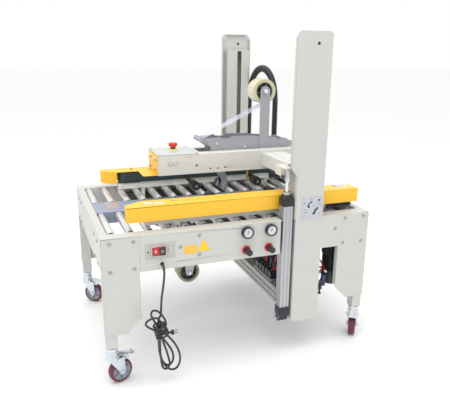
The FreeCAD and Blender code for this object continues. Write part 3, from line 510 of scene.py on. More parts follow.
def even_flats(me, sheet_tree):
    """Cuts every flat area of a mesh afresh, holes and all, and gives each corner the lighting
    direction of the widest flat that meets there, so that sheets read flat and edges round."""
    bm = bmesh.new()
    bm.from_mesh(me)
    # a corner never stands off the sheet it belongs to
    for v in bm.verts:
        hit = sheet_tree.find_nearest(v.co)
        if hit[0] is not None and hit[3] > 0.0012:
            v.co = hit[0]
    bmesh.ops.remove_doubles(bm, verts=bm.verts, dist=2e-6)
    bm.normal_update()
    tag = bm.faces.layers.int.new("flat_no")
    for fc in bm.faces:
        fc[tag] = -1
    order = sorted(bm.faces, key=lambda q: -q.calc_area())
    flats, normals, sizes = [], [], []
    for seed in order:
        if seed[tag] >= 0:
            continue
        n = seed.normal.copy()
        if n.length < 0.5:
            continue
        o = seed.verts[0].co.copy()
        no = len(flats)
        seed[tag] = no
        group_, todo = [seed], [seed]
        while todo:
            fc = todo.pop()
            for e in fc.edges:
                for g in e.link_faces:
                    if g[tag] >= 0 or g.material_index != seed.material_index:
                        continue
                    thin_ = g.calc_area() < 5e-5 * max(q.calc_length() for q in g.edges)
                    if not thin_ and abs(g.normal.dot(n)) < 0.9995:
                        continue
                    if all(abs((v.co - o).dot(n)) < 6e-6 for v in g.verts):
                        g[tag] = no
                        group_.append(g)
                        todo.append(g)
        flats.append(group_)
        normals.append(n)
        sizes.append(0.0)
    for no, group_ in enumerate(flats):
        n = normals[no]
        if len(group_) == 1 and len(group_[0].verts) <= 4:
            sizes[no] = group_[0].calc_area()
            continue
        rim = {}
        for fc in group_:
            for e in fc.edges:
                rim[e] = rim.get(e, 0) + 1
        rim = [e for e, c in rim.items() if c % 2]
        if len(rim) < 3:
            sizes[no] = sum(fc.calc_area() for fc in group_)
            continue
        u = n.orthogonal().normalized()
        w = n.cross(u)
        vs = list({v for e in rim for v in e.verts})
        at = {v: i for i, v in enumerate(vs)}
        flat2 = [Vector((v.co.dot(u), v.co.dot(w))) for v in vs]
        ed = [(at[e.verts[0]], at[e.verts[1]]) for e in rim]
        res = mathutils.geometry.delaunay_2d_cdt(flat2, ed, [], 1, 1e-7)
        h = sum(v.co.dot(n) for v in vs) / len(vs)
        tris = []
        for loop in res[2]:
            if len(loop) != 3:
                continue
            a_, b_, c_ = (res[0][i] for i in loop)
            area2 = (b_ - a_).cross(c_ - a_)
            if abs(area2) / max((b_ - a_).length, (c_ - b_).length, (a_ - c_).length) < 1.5e-5:
                continue
            mid = (a_ + b_ + c_) / 3
            hit = sheet_tree.find_nearest(u * mid.x + w * mid.y + n * h)
            if hit[0] is None or hit[3] > 4e-5:
                continue
            tris.append((loop if area2 > 0 else loop[::-1], abs(area2) / 2))
        old = sum(fc.calc_area() for fc in group_)
        total = sum(q[1] for q in tris)
        if not tris or total < 0.6 * old:
            sizes[no] = old
            continue
        newv = []
        for c, src_ in zip(res[0], res[3]):
            newv.append(vs[src_[0]] if src_ else bm.verts.new(u * c.x + w * c.y + n * h))
        mi = group_[0].material_index
        bmesh.ops.delete(bm, geom=group_, context="FACES_ONLY")
        for loop, ar in tris:
            pts_ = [newv[i] for i in loop]
            if len(set(pts_)) != 3 or bm.faces.get(pts_):
                continue
            fc = bm.faces.new(pts_)
            fc.material_index = mi
            fc[tag] = no
        sizes[no] = total
    loose = [v for v in bm.verts if not v.link_faces]
    bmesh.ops.delete(bm, geom=loose, context="VERTS")
    bmesh.ops.triangulate(bm, faces=[fc for fc in bm.faces if len(fc.verts) > 4], ngon_method="BEAUTY")
    bm.normal_update()
    bm.verts.index_update()
    bm.faces.index_update()
    around = []
    for v in bm.verts:
        near = {}
        for fc in v.link_faces:
            k = fc[tag]
            if k >= 0:
                near[k] = (normals[k], sizes[k])
        around.append(list(near.values()))
    out = []
    for fc in bm.faces:
        own = normals[fc[tag]] if fc[tag] >= 0 else fc.normal.copy()
        for lp in fc.loops:
            tot = Vector((0, 0, 0))
            for n, ar in around[lp.vert.index]:
                if n.dot(own) > 0.62:
                    tot += n * (ar ** 1.5 + 1e-12)
            out.append(tot.normalized() if tot.length > 0 else own)
    bm.faces.layers.int.remove(tag)
    bm.to_mesh(me)
    bm.free()
    me.shade_smooth()
    me.normals_split_custom_set([tuple(q) for q in out])


def soften(node, key, name=None, wide=1.6, thin=0.55, paint=None, sheet=4.2):
    """A copy of a sheet-metal node with its bends rounded and its cut edges eased, which stands for it."""
    src = NODES[node]
    bm = bmesh.new()
    bm.from_mesh(src.data)
    tree = BVHTree.FromBMesh(bm)
    bmesh.ops.remove_doubles(bm, verts=bm.verts, dist=3e-6)
    bmesh.ops.dissolve_limit(bm, angle_limit=math.radians(0.8), verts=bm.verts, edges=bm.edges, use_dissolve_boundaries=False)
    bmesh.ops.recalc_face_normals(bm, faces=bm.faces)
    lay = bm.edges.layers.float.new("bevel_weight_edge")
    strip = {}
    for fc in bm.faces:
        longest = max(e.calc_length() for e in fc.edges)
        strip[fc] = fc.calc_area() / max(longest, 1e-9)
    for e in bm.edges:
        if len(e.link_faces) != 2:
            continue
        ang = e.calc_face_angle_signed(0)
        if ang > math.radians(40):
            w = min(strip[e.link_faces[0]], strip[e.link_faces[1]])
            if w < 8e-5:
                continue
            e[lay] = 1.0 if w > sheet / 1000.0 else thin / wide
    me = bpy.data.meshes.new(name or node + "_skin")
    bm.to_mesh(me)
    bm.free()
    keys = [key] if isinstance(key, str) else list(key)
    me.materials.clear()
    for k in keys:
        me.materials.append(M[k])
    ob = bpy.data.objects.new(name or node + "_skin", me)
    bpy.context.scene.collection.objects.link(ob)
    for fc in me.polygons:
        fc.material_index = 0
        if paint:
            c = fc.center
            fc.material_index = paint(c.x * 1000 + OX, c.y * 1000 + OY, c.z * 1000, fc.normal)
    md = ob.modifiers.new("ease", "BEVEL")
    md.limit_method = "WEIGHT"
    md.width = wide / 1000.0
    md.segments = 2
    md.use_clamp_overlap = False
    md.harden_normals = False
    dg = bpy.context.evaluated_depsgraph_get()
    ev = ob.evaluated_get(dg)
    made = bpy.data.meshes.new_from_object(ev)
    ob.modifiers.clear()
    ob.data = made
    even_flats(made, tree)
    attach(ob, NODES[node]["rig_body"])
    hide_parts(node)
    return ob


def paint_node(node, key):
    ob = NODES[node]
    ob.data.materials.clear()
    ob.data.materials.append(M[key])


# ------------------------------------------------------------------ power cord
ROUTE = [(229, -22, 505), (229, -40, 500), (227, -50, 478), (222, -50, 430), (216, -44, 385), (213, -42, 340)]
HANK = [
    (212, -40, 300), (204, -38, 294), (202, -34, 270), (204, -30, 243), (204, -27, 214), (204, -25, 188), (205, -24, 160), (207, -23, 131),
    (213, -22, 101), (223, -22, 75), (237, -23, 55), (254, -24, 43), (273, -24, 43), (287, -24, 60), (293, -24, 86), (289, -25, 117),
    (278, -26, 146), (262, -28, 175), (245, -30, 198), (227, -33, 219), (210, -38, 242), (195, -44, 266), (184, -48, 286), (175, -51, 304),
    (170, -52, 319), (173, -52, 332), (185, -52, 336), (201, -51, 327), (215, -50, 307), (225, -48, 289), (231, -47, 270), (228, -46, 249),
    (218, -46, 233), (208, -44, 218), (202, -41, 197), (202, -38, 171), (205, -36, 141), (210, -35, 114), (219, -34, 90), (233, -34, 74),
    (249, -34, 75), (259, -35, 91), (261, -36, 114), (255, -37, 139), (243, -38, 162), (230, -40, 184), (214, -45, 208), (200, -50, 231),
    (185, -54, 249), (167, -57, 262), (153, -58, 273), (146, -58, 286), (154, -57, 297), (168, -56, 303), (184, -54, 304), (200, -50, 296),
    (210, -45, 277), (211, -44, 251), (209, -47, 226), (214, -50, 202), (222, -50, 174), (231, -49, 144), (238, -48, 114), (243, -47, 92),
    (239, -46, 72), (225, -45, 63), (212, -45, 76), (208, -45, 106), (206, -46, 131), (204, -48, 160), (204, -50, 191), (203, -52, 221),
    (199, -54, 246)]
# four turns of the cord's own end tie the bundle
a0, a1 = Vector((202.5, -40, 266)), Vector((217.5, -40, 214))
ax_ = (a1 - a0).normalized()
e1 = Vector((1, 0, 0))
e1 = (e1 - ax_ * e1.dot(ax_)).normalized()
WRAP = []
TURNS = 4
for i in range(TURNS * 12 + 2):
    t = i / (TURNS * 12.0)
    th = math.radians(196) - 2 * math.pi * i / 12.0
    p = a0 + (a1 - a0) * t + e1 * ((22.5 + 3.5 * t) * math.cos(th)) + Vector((0, 1, 0)) * (20.5 * math.sin(th))
    WRAP.append((p.x, p.y, p.z))
TAIL = [(214, -21, 219), (229, -27, 220), (240, -35, 221), (249.4, -39, 221)]
line = ROUTE + HANK + WRAP + TAIL
cu = bpy.data.curves.new("power_cord", "CURVE")
cu.dimensions = "3D"
sp = cu.splines.new("NURBS")
sp.points.add(len(line) - 1)
for p, q in zip(sp.points, line):
    p.co = (*P(*q), 1.0)
sp.order_u = 3
sp.use_endpoint_u = True
cu.resolution_u = 6
cu.bevel_depth = 0.0042
cu.bevel_resolution = 4
cu.use_fill_caps = True
cord = bpy.data.objects.new("power_cord", cu)
bpy.context.scene.collection.objects.link(cord)
cu.materials.append(M["cordm"])
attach(cord, "frame")
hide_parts("cord_run", "cord_hank")

pc = Piece("mains_plug")
pc.lathe([(0, 0), (4.6, 0), (5.2, 1.5), (7.5, 5.5), (9.8, 7), (10.9, 9), (10.9, 12), (10.2, 13.2), (0, 13.2)], (249, -39, 221), "x",
         "blackp", seg=28)
for zz, tw in ((216, 4), (226, -6)):
    rot = Matrix.Translation((262, -39, zz)) @ Matrix.Rotation(math.radians(tw), 4, "Y") @ Matrix.Translation((-262, 39, -zz))
    pc.box(261.5, 280.2, -42.0, -36.0, zz - 0.9, zz + 0.9, "steel", 0.4, matrix=rot)
plug = pc.done("frame", replaces=["cord_plug"])

pc = Piece("cord_gland_nut")
pc.lathe([(0, 24), (7.6, 24), (7.6, 6), (7.8, 3.2), (11.4, 3.0), (11.9, 1.2), (12.0, -2.0), (12.0, -6.5), (11.2, -8.0), (9.4, -9.0)],
         (229, 0, 505), "y", "white", seg=36, hexes=(6, 7))
# tapered sleeve that follows the cord out of the nut
pc.tube([(229, -7.5, 505), (229, -16, 505), (229.0, -24, 503.8), (228.8, -32, 500.4), (228.2, -38.5, 494.5), (227.6, -42.5, 488)],
        lambda t: 5.5 - 0.8 * t + 0.22 * math.cos(t * 44.0), "cordm", seg=24, sub=5)
gland = pc.done("frame", replaces=["cord_gland"])

# ------------------------------------------------------------------ sheet metal
soften("frame_weldment", "cream", wide=2.2)
soften("front_panel", "cream", wide=1.6)
soften("rear_panel", "cream", wide=1.6)
soften("mast_front", "cream", wide=2.2)
soften("mast_rear", "cream", wide=2.2)
soften("table_spine", "spine", wide=2.0)
soften("cross_channel", "alu_rib", wide=1.2)
# painted light: the head beam takes the brighter copy of the cream coat
soften("head_beam", "cream_head", wide=2.0)
soften("near_guard", "yellow", wide=2.8)
soften("far_guard", "yellow", wide=2.8)
soften("tape_cartridge", "grey", wide=1.2)
soften("lower_head_frame", ["blacks", "cover"], wide=1.2,
       paint=lambda x, y, z, n: 1 if y < 383.9 and z < 476 else 0)

# ------------------------------------------------------------------ table rollers
PITCH, X0 = 75.5, 50.0
SPIN = [n for n in range(1, 6) if "table_roller_%d" % n in NODES]


def roller(pc, x):
    for a, b, p, q in ((65, 343, 57.5, 347.5), (507, 785, 502.5, 792.5)):
        prof = [(0, a - 0.6), (5.6, a - 0.6), (5.6, a + 0.2), (7.4, a + 0.4), (7.6, a + 1.5), (9.2, a + 1.5), (9.6, a), (13.6, a), (14.5, a + 0.9),
                (14.5, a + 7.2), (14.9, a + 7.6), (15.6, a + 8.0), (16.0, a + 9.0), (16.0, (a + b) / 2),
                (16.0, b - 9.0), (15.6, b - 8.0), (14.9, b - 7.6), (14.5, b - 7.2), (14.5, b - 0.9), (13.6, b), (9.6, b), (9.2, b - 1.5), (7.6, b - 1.5), (7.4, b - 0.4),
                (5.6, b - 0.2), (5.6, b + 0.6), (0, b + 0.6)]
        keys = ["blackp"] * 9 + ["blackp"] + ["roller"] * 6 + ["blackp"] * 10
        pc.lathe(prof, (x, 0, 611), "y", keys, seg=44)
        pc.lathe([(0, p), (3.6, p), (4.0, p + 0.5), (4.0, q - 0.5), (3.6, q), (0, q)], (x, 0, 611), "y", "zinc", seg=18, hexes=(1, 2, 3, 4))


bank = Piece("roller_bank")
for k in range(15):
    x = X0 + PITCH * k
    if k + 1 in SPIN:
        pr = Piece("roller_pair_%d" % (k + 1))
        roller(pr, x)
        pr.done("roller_%d" % (k + 1), ["table_roller_%d" % (k + 1)])
    else:
        roller(bank, x)
bank.done("frame", ["table_roller_bank"])


# ------------------------------------------------------------------ screws
def button_head(pc, c, axis, r=7.0, h=4.0, key="bolt", sign=-1):
    """Button-head socket screw, head standing off the face at c."""
    s = sign
    pc.lathe([(r * 0.92, 0), (r, 0.25 * s), (r, 0.7 * s), (r * 0.90, h * 0.55 * s), (r * 0.68, h * 0.86 * s), (r * 0.47, h * s), (2.9, h * s), (2.7, (h - 2.0) * s), (0, (h - 2.3) * s)],
             c, axis, key, seg=24, hexes=(6, 7))


pc = Piece("frame_button_screws")
for x, z in ((31, 605), (122, 605), (31, 493), (122, 495), (306, 562), (383, 602), (383, 522),
             (1142, 608), (1048, 607), (1001, 564), (1045, 493), (1137, 493)):
    button_head(pc, (x, 0, z), "y")
    button_head(pc, (x, 850, z), "y", sign=1)
for y in (102.0, 188.0, 662.0, 748.0):
    for z in (495.0, 588.0):
        button_head(pc, (0, y, z), "x")
        button_head(pc, (1170, y, z), "x", sign=1)
pc.done("frame", ["frame_screws"])

# ------------------------------------------------------------------ switch plate, labels
pc = Piece("switch_plate")
pc.prism(fillet([(168, 526), (283, 526), (283, 587), (168, 587)], 2.5), "xz", 0, -2.0, "plate", 0.5,
         holes=[[(192, 538.5), (192, 574.5), (246, 574.5), (246, 538.5)]])
pc.prism(fillet([(188, 534), (250, 534), (250, 579), (188, 579)], 3.0), "xz", -1.9, -5.6, "bezel", 0.9,
         holes=[fillet([(192.5, 539), (192.5, 574), (245.5, 574), (245.5, 539)], 1.5)])
button_head(pc, (177, -2, 556), "y", r=3.0, h=1.6, key="blackp")
pc.prism(fillet([(255, 543), (272, 543), (272, 573), (255, 573)], 2.5), "xz", -1.9, -3.2, "plate", 0.5)
pc.prism(fillet([(257.5, 546), (269.5, 546), (269.5, 570), (257.5, 570)], 1.6), "xz", -3.0, -5.0, "label_white", 0.7)
pc.prism(fillet([(259.8, 549.5), (267.2, 549.5), (267.2, 566.5), (259.8, 566.5)], 1.0), "xz", -4.8, -5.5, "label_mid", 0.3)
pc.prism(fillet([(261.5, 553.5), (266.0, 553.5), (266.0, 562.5), (261.5, 562.5)], 1.0), "xz", -5.3, -6.0, "label_white", 0.3)
pc.done("frame", ["panel_plates"])

pc = Piece("instruction_plate")
pc.prism(fillet([(833, 620), (927, 620), (927, 714), (833, 714)], 3.0), "xz", 0, -1.2, "silver", 0.3)
for x in (837.5, 922.5):
    for z in (624.5, 709.5):
        pc.lathe([(2.3, -1.1), (2.2, -1.7), (1.4, -2.2), (0, -2.3)], (x, 0, z), "y", "bolt", seg=14)


def arrow(pc, pts, key="label_dark"):
    pc.prism(pts, "xz", -1.15, -1.45, key, 0)


arrow(pc, [(855, 676), (858, 676), (862, 688), (874, 697), (881, 700), (880, 692), (868, 688), (866, 678), (871, 672), (862, 668)])
arrow(pc, [(893, 640), (897, 640), (899, 652), (908, 660), (912, 668), (904, 669), (890, 655), (888, 646), (882, 643), (886, 637)])
for x0, x1, z0, z1, kk in ((838, 848, 688, 694, "label_mid"), (846, 852, 660, 664, "label_mid"), (908, 918, 696, 704, "label_dark"), (905, 912, 686, 690, "label_mid"),
                           (884, 892, 678, 681, "label_mid"), (846, 858, 648, 652, "label_mid"), (842, 846, 634, 637, "label_mid"), (916, 922, 676, 682, "label_mid"),
                           (868, 876, 630, 633, "label_mid"), (870, 884, 706, 708, "label_mid"), (914, 920, 640, 643, "label_mid")):
    arrow(pc, [(x0, z0), (x1, z0), (x1, z1), (x0, z1)], kk)
pc.done("frame")

pc = Piece("panel_stickers")
pc.prism(fillet([(320, 529), (373, 529), (373, 565), (320, 565)], 1.5), "xz", 0, -0.5, "label_gold", 0.15)
pc.prism(fillet([(374, 535), (430, 535), (401.5, 584)], 2.5), "xz", 0, -0.5, "label_yel", 0.15)
pc.done("frame")

pc = Piece("table_sticker")
pc.prism(fillet([(85, 392), (146, 392), (146, 500), (85, 500)], 2.0), "xy", 625, 625.5, "label_pink", 0.15)
pc.done("frame")

# ------------------------------------------------------------------ rocker, gauges, regulators
pc = Piece("rocker_switch")
tilt = Matrix.Translation((219, -3, 0)) @ Matrix.Rotation(math.radians(-8), 4, "Z") @ Matrix.Translation((-219, 3, 0))
pc.prism([(194, -3), (218.7, -3), (218.7, -8.8), (207, -9.0), (194, -10.4)], "xy", 541, 572, "redlit", 1.0, 3, matrix=tilt)
pc.prism([(219.3, -3), (244, -3), (244, -10.4), (231, -9.0), (219.3, -8.8)], "xy", 541, 572, "blackp", 1.0, 3, matrix=tilt)
pc.lathe([(0, -9.1), (5.2, -9.15), (4.2, -9.9), (0, -10.3)], (206.5, 0, 557.5), "y", "redlamp", seg=24, matrix=tilt)
pc.box(205.4, 207.4, -10.6, -9.4, 551, 563, "label_white", 0.3, matrix=tilt)
pc.lathe([(4.9, -9.1), (4.9, -9.9), (3.6, -9.9), (3.6, -9.1)], (231.5, 0, 557), "y", "label_white", seg=28, matrix=tilt)
pc.done("rocker", ["power_rocker"])

pc = Piece("pressure_gauges")
for gx in (586.0, 691.0):
    pc.lathe([(0, 26), (11, 26), (12, 24), (12, 8), (16, 6), (16.4, 0.2), (24.2, 0.2), (25.0, -0.8), (25.0, -16.5), (24.4, -18.2), (23.0, -19.0), (20.6, -19.0),
              (19.4, -18.0), (19.0, -15.0)], (gx, 0, 593), "y", "blackp", seg=56)
    pc.lathe([(19.2, -15.2), (0, -15.2)], (gx, 0, 593), "y", "dial", seg=56)
    pc.lathe([(19.3, -17.4), (0, -17.9)], (gx, 0, 593), "y", "glass", seg=56)
    for k in range(0, 21, 2):
        th = math.radians(225 - 270 * k / 20)
        big = k % 10 == 0
        r0, r1, w = (12.6 if big else 14.6), 16.8, (0.55 if big else 0.3)
        dx, dz = math.cos(th), math.sin(th)
        pts = [(gx + dx * r0 - dz * w, 593 + dz * r0 + dx * w), (gx + dx * r1 - dz * w, 593 + dz * r1 + dx * w),
               (gx + dx * r1 + dz * w, 593 + dz * r1 - dx * w), (gx + dx * r0 + dz * w, 593 + dz * r0 - dx * w)]
        pc.prism(pts, "xz", -15.2, -15.45, "label_mid", 0)
    th = math.radians(222 if gx < 600 else 214)
    dx, dz = math.cos(th), math.sin(th)
    pc.prism([(gx - dx * 5 - dz * 0.9, 593 - dz * 5 + dx * 0.9), (gx + dx * 14, 593 + dz * 14), (gx - dx * 5 + dz * 0.9, 593 - dz * 5 - dx * 0.9)],
             "xz", -15.9, -16.4, "label_dark", 0.1)
    pc.lathe([(3.0, -15.3), (2.8, -16.7), (0, -17.0)], (gx, 0, 593), "y", "label_mid", seg=20)
    pc.prism([(gx - 5, 597), (gx + 5, 599.5), (gx + 5, 602), (gx - 5, 599.5)], "xz", -15.2, -15.5, "label_blue", 0)
for gx in (584.0, 685.0):
    pc.lathe([(13.5, 34), (13.5, -0.2), (17.6, -0.2), (18.5, -1.2), (18.5, -5.2), (17.4, -6.8), (14.2, -7.2), (13.4, -6.6), (13.2, -2.0), (6.1, -2.0), (6.1, 34), (13.5, 34)],
             (gx, 0, 516), "y", "red", seg=48)
pc.done("frame", ["gauges_and_regulators"])

for nm, gx in (("left", 584.0), ("right", 685.0)):
    pc = Piece("regulator_knob_cap_" + nm)
    pc.lathe([(0, 25), (6, 25), (6, -7.0), (11.2, -7.4), (12.4, -8.4), (12.7, -13), (12.3, -15.0), (12.3, -40), (12.0, -43.6), (10.6, -45.6), (8.6, -46.0), (8.0, -45.2), (0, -45.2)],
             (gx, 0, 516), "y", "blackp", seg=48)
    for k in range(22):
        th = 2 * math.pi * k / 22
        pc.box(gx - 0.75, gx + 0.75, -42.5, -16.0, 516 + 11.6, 516 + 12.95, "blackp", 0.35, 1,
               matrix=Matrix.Translation((gx, 0, 516)) @ Matrix.Rotation(th, 4, "Y") @ Matrix.Translation((-gx, 0, -516)))
    pc.done("knob_" + nm, ["regulator_knob_" + nm])

# ------------------------------------------------------------------ lift cylinders
pc = Piece("cylinder_pair")
for side in (0, 1):
    mm = None if not side else Matrix.Translation((0, 850, 0)) @ Matrix.Scale(-1, 4, (0, 1, 0))
    cx_, cy_ = 773.5, 27.5
    a = 22.5
    prof = []
    quarter = [(-a + 4.5, -a), (-14.6, -a), (-13.6, -a + 1.0), (-11.4, -a + 1.0), (-11.4, -a + 3.0), (-6.6, -a + 3.0), (-6.6, -a + 1.0), (-4.4, -a + 1.0), (-3.4, -a),
               (3.4, -a), (4.4, -a + 1.0), (6.6, -a + 1.0), (6.6, -a + 3.0), (11.4, -a + 3.0), (11.4, -a + 1.0), (13.6, -a + 1.0), (14.6, -a), (a - 4.5, -a), (a - 1.3, -a + 1.3)]
    for k in range(4):
        c_, s_ = math.cos(k * math.pi / 2), math.sin(k * math.pi / 2)
        prof += [(cx_ + px * c_ - py * s_, cy_ + px * s_ + py * c_) for px, py in quarter]
    pc.prism(prof, "xy", 222, 682, "alu", 0, matrix=mm)
    c = 24.5
    sq = [(cx_ - c, cy_ - c), (cx_ + c, cy_ - c), (cx_ + c, cy_ + c), (cx_ - c, cy_ + c)]
    tmp = bmesh.new()
    idx = pc.mi("blueblack")
    rings = []
    for z_, cc, rr in ((681.5, 24.0, 4), (683.0, 24.5, 4), (706.0, 24.5, 5), (714, 23.0, 6), (727.0, 17.8, 8), (730.0, 16.0, 9)):
        loop = fillet([(cx_ - cc, cy_ - cc), (cx_ + cc, cy_ - cc), (cx_ + cc, cy_ + cc), (cx_ - cc, cy_ + cc)], rr, 5)
        rings.append([tmp.verts.new((p[0], p[1], z_)) for p in loop])
    for A, B in zip(rings, rings[1:]):
        for k in range(len(A)):
            tmp.faces.new((A[k - 1], A[k], B[k], B[k - 1])).material_index = idx
    tmp.faces.new(rings[0]).material_index = idx
    tmp.faces.new(rings[-1]).material_index = idx
    bmesh.ops.recalc_face_normals(tmp, faces=tmp.faces)
    pc.take(tmp, mm)
    pc.lathe([(16, 729.5), (16, 738), (14.5, 740.5), (10.5, 741.8), (8.1, 741.8), (8.1, 736)], (cx_, cy_, 0), "z", ["steel", "steel", "blackp", "blackp", "blackp"], seg=36, matrix=mm)
    tmp = bmesh.new()
    rings = []
    for z_, cc, rr in ((222.5, 24.0, 4), (221.0, 24.5, 4), (184.0, 24.5, 5), (182.0, 23.2, 5)):
        loop = fillet([(cx_ - cc, cy_ - cc), (cx_ + cc, cy_ - cc), (cx_ + cc, cy_ + cc), (cx_ - cc, cy_ + cc)], rr, 5)
        rings.append([tmp.verts.new((p[0], p[1], z_)) for p in loop])
    for A, B in zip(rings, rings[1:]):
        for k in range(len(A)):
            tmp.faces.new((A[k - 1], A[k], B[k], B[k - 1])).material_index = idx
    tmp.faces.new(rings[0]).material_index = idx
    tmp.faces.new(rings[-1]).material_index = idx
    bmesh.ops.recalc_face_normals(tmp, faces=tmp.faces)
    pc.take(tmp, mm)
    pc.prism(fillet([(cy_ - 17, 182.5), (cy_ - 9.5, 153), (cy_ + 9.5, 153), (cy_ + 17, 182.5)], [0, 5, 5, 0]), "yz", cx_ - 23.5, cx_ + 23.5, "blueblack", 1.2, matrix=mm)
    pc.lathe([(0, cx_ - 39.5), (6.8, cx_ - 39.5), (8, cx_ - 38.6), (8, cx_ - 34.6), (7.4, cx_ - 34), (5, cx_ - 34), (5, 806), (0, 806)], (0, cy_, 166), "x", "zinc", seg=28, hexes=(1, 2, 3, 4), matrix=mm)
    for sx in (-1, 1):
        for sy in (-1, 1):
            for z_, s_ in ((182.2, -1), (716, 1)):
                if s_ > 0:
                    continue
                pc.lathe([(3.6, 0.2), (3.6, 1.6 * s_), (1.8, 1.6 * s_), (1.8, 0.4 * s_), (0, 0.4 * s_)], (cx_ + sx * 17.5, cy_ + sy * 17.5, z_), "z", "zinc", seg=16, matrix=mm)
pc.done("frame", ["lift_cylinders"])

pc = Piece("piston_rod_pair")
for side in (0, 1):
    mm = None if not side else Matrix.Translation((0, 850, 0)) @ Matrix.Scale(-1, 4, (0, 1, 0))
    pc.lathe([(0, 320), (15.4, 320), (15.8, 321), (15.8, 337), (15.4, 338), (8, 338), (8, 786), (7.4, 787), (0, 787)], (773.5, 27.5, 0), "z", "chrome", seg=36, matrix=mm)
    pc.lathe([(8, 784), (10.6, 784.4), (10.9, 786), (10.9, 799), (10.4, 800.4), (6, 800.4)], (773.5, 27.5, 0), "z", "zinc", seg=24, hexes=(1, 2, 3, 4), matrix=mm)
    pc.prism(fillet([(773.5 - 14, 14.5), (778.5, 14.5), (778.5, 40.5), (773.5 - 14, 40.5)], 3), "xy", 800, 833.6, "steel", 1.2, matrix=mm)
    pc.lathe([(0, 753.0), (5.6, 753.0), (7.0, 754.0), (7.0, 757.6), (6.4, 758.4), (4.4, 758.4), (4.4, 760)], (0, 27.5, 817), "x", "zinc", seg=24, hexes=(1, 2, 3, 4), matrix=mm)
pc.done("head", ["piston_rods"])

# ------------------------------------------------------------------ head
soften("head_nose_plate", "yellow", wide=2.2)
pc = Piece("nose_bolts")
for y in (380, 470):
    for z in (795, 838):
        pc.lathe([(10.2, 301.9), (10.2, 300.6), (9.4, 300.2), (7.2, 300.2), (7.2, 300.0), (7.4, 294.2), (6.6, 293.2), (3.2, 293.2), (3.0, 296.5), (0, 296.8)],
                 (0, y, z), "x", "zinc", seg=24, hexes=(7, 8))
pc.done("head")

beam_fit = Piece("beam_fittings")
for x, z in ((356, 822), (381, 822)):
    for s_, y in ((-1, 332), (1, 518)):
        beam_fit.lathe([(9.2, y), (9.2, y + 2.6 * s_), (8.4, y + 3.3 * s_), (6.0, y + 3.3 * s_), (5.6, y + 2.2 * s_), (3.2, y + 2.2 * s_), (3.0, y + 0.8 * s_), (0, y + 0.8 * s_)],
                       (x, 0, z), "y", "steel", seg=28, hexes=(6, 7))
beam_fit.prism([(472, 803), (483, 803), (483, 814), (472, 814)], "xz", 332.2, 331.2, "label_mid", 0.3,
               holes=[[(474.5, 805.5), (474.5, 811.5), (480.5, 811.5), (480.5, 805.5)]])
beam_fit.box(475, 480, 331.9, 332.3, 806, 811, "label_dark", 0)
# plain tag on the beam's upper edge
beam_fit.prism([(426, 843), (456, 843), (456, 856), (426, 856)], "xz", 332.1, 331.8, "label_pale", 0)
for x, z in ((543, 790), (578, 790), (611, 792)):
    beam_fit.lathe([(4.4, 331.9), (4.2, 331.4), (3.1, 331.4), (3.0, 333.2), (0, 333.4)], (x, 0, z), "y", ["bolt", "bolt", "blackp", "blackp"], seg=20)
beam_fit.done("head")

pc = Piece("cover_plate")
pc.prism(fillet([(304, 331), (490, 331), (490, 519), (304, 519)], 2.0), "xy", 860.0, 862.2, "cover", 0.9, holes=[circle(402, 450, 11.1, 32)])
pc.lathe([(11.1, 862.2), (28.4, 862.2), (29.0, 862.8), (28.8, 863.6), (27.6, 864.0), (18.0, 864.2), (17.4, 864.6), (17.0, 866.6), (16.2, 867.1), (14.8, 867.0), (14.4, 864.6), (9.0, 864.4), (8.4, 864.0), (8.2, 862.2)],
         (402, 450, 0), "z", "lime", seg=56)
for x, y in ((314, 341), (480, 341), (314, 509), (480, 509)):
    button_head(pc, (x, y, 862.1), "z", r=4.6, h=2.2, key="bolt", sign=1)
pc.done("head", ["head_cover"])

pc = Piece("estop_mushroom")
pc.lathe([(0, 846), (7.8, 846), (7.8, 872), (12.6, 872.4), (13.0, 873.4), (13.0, 876.0), (14.2, 877.6), (17.4, 878.6), (19.4, 880.4), (20.2, 883.2), (20.2, 889.2), (19.6, 891.8),
          (18.0, 894.0), (14.6, 895.4), (9.0, 896.0), (0, 896.2)], (402, 450, 0), "z",
         ["blackp", "blackp", "blackp"] + ["red"] * 12, seg=56)
for k in range(3):
    th = 2 * math.pi * k / 3 + 0.4
    loop = [(402 + rr * math.cos(th + t), 450 + rr * math.sin(th + t)) for rr, t in ((10.5, 0.0), (10.5, 0.35), (10.5, 0.7), (10.5, 1.0), (13.2, 1.0), (13.2, 1.22), (8.6, 1.30), (8.9, 1.0), (8.9, 0.6), (8.9, 0.2))]
    pc.prism(loop, "xy", 895.2, 896.15, "white", 0)
pc.done("estop", ["estop_button"])

# tape cartridge details
pc = Piece("cartridge_fittings")
for x, z in ((590, 890), (730, 870), (960, 860), (960, 800), (650, 850)):
    pc.lathe([(6.6, 382.1), (6.6, 381.2), (6.0, 380.6), (5.0, 380.4), (5.0, 378.4), (4.3, 377.6), (2.4, 377.6), (2.2, 379.2), (0, 379.3)], (x, 0, z), "y", "zinc", seg=24, hexes=(6, 7))
    pc.lathe([(6.6, 467.9), (6.6, 468.8), (6.0, 469.4), (5.0, 469.6), (5.0, 471.6), (4.3, 472.4), (0, 472.6)], (x, 0, z), "y", "zinc", seg=24)
pc.lathe([(0, 384.6), (6.3, 384.8), (6.3, 465.2), (0, 465.4)], (512, 0, 915), "y", "steel", seg=28)
pc.prism([(517, 904), (549, 878), (555, 884), (523, 911)], "xz", 388.5, 461.5, "rubber", 0.8)
pc.prism([(512, 905), (517, 899), (524, 904), (518, 911)], "xz", 388.3, 461.7, "rubber", 0.8)
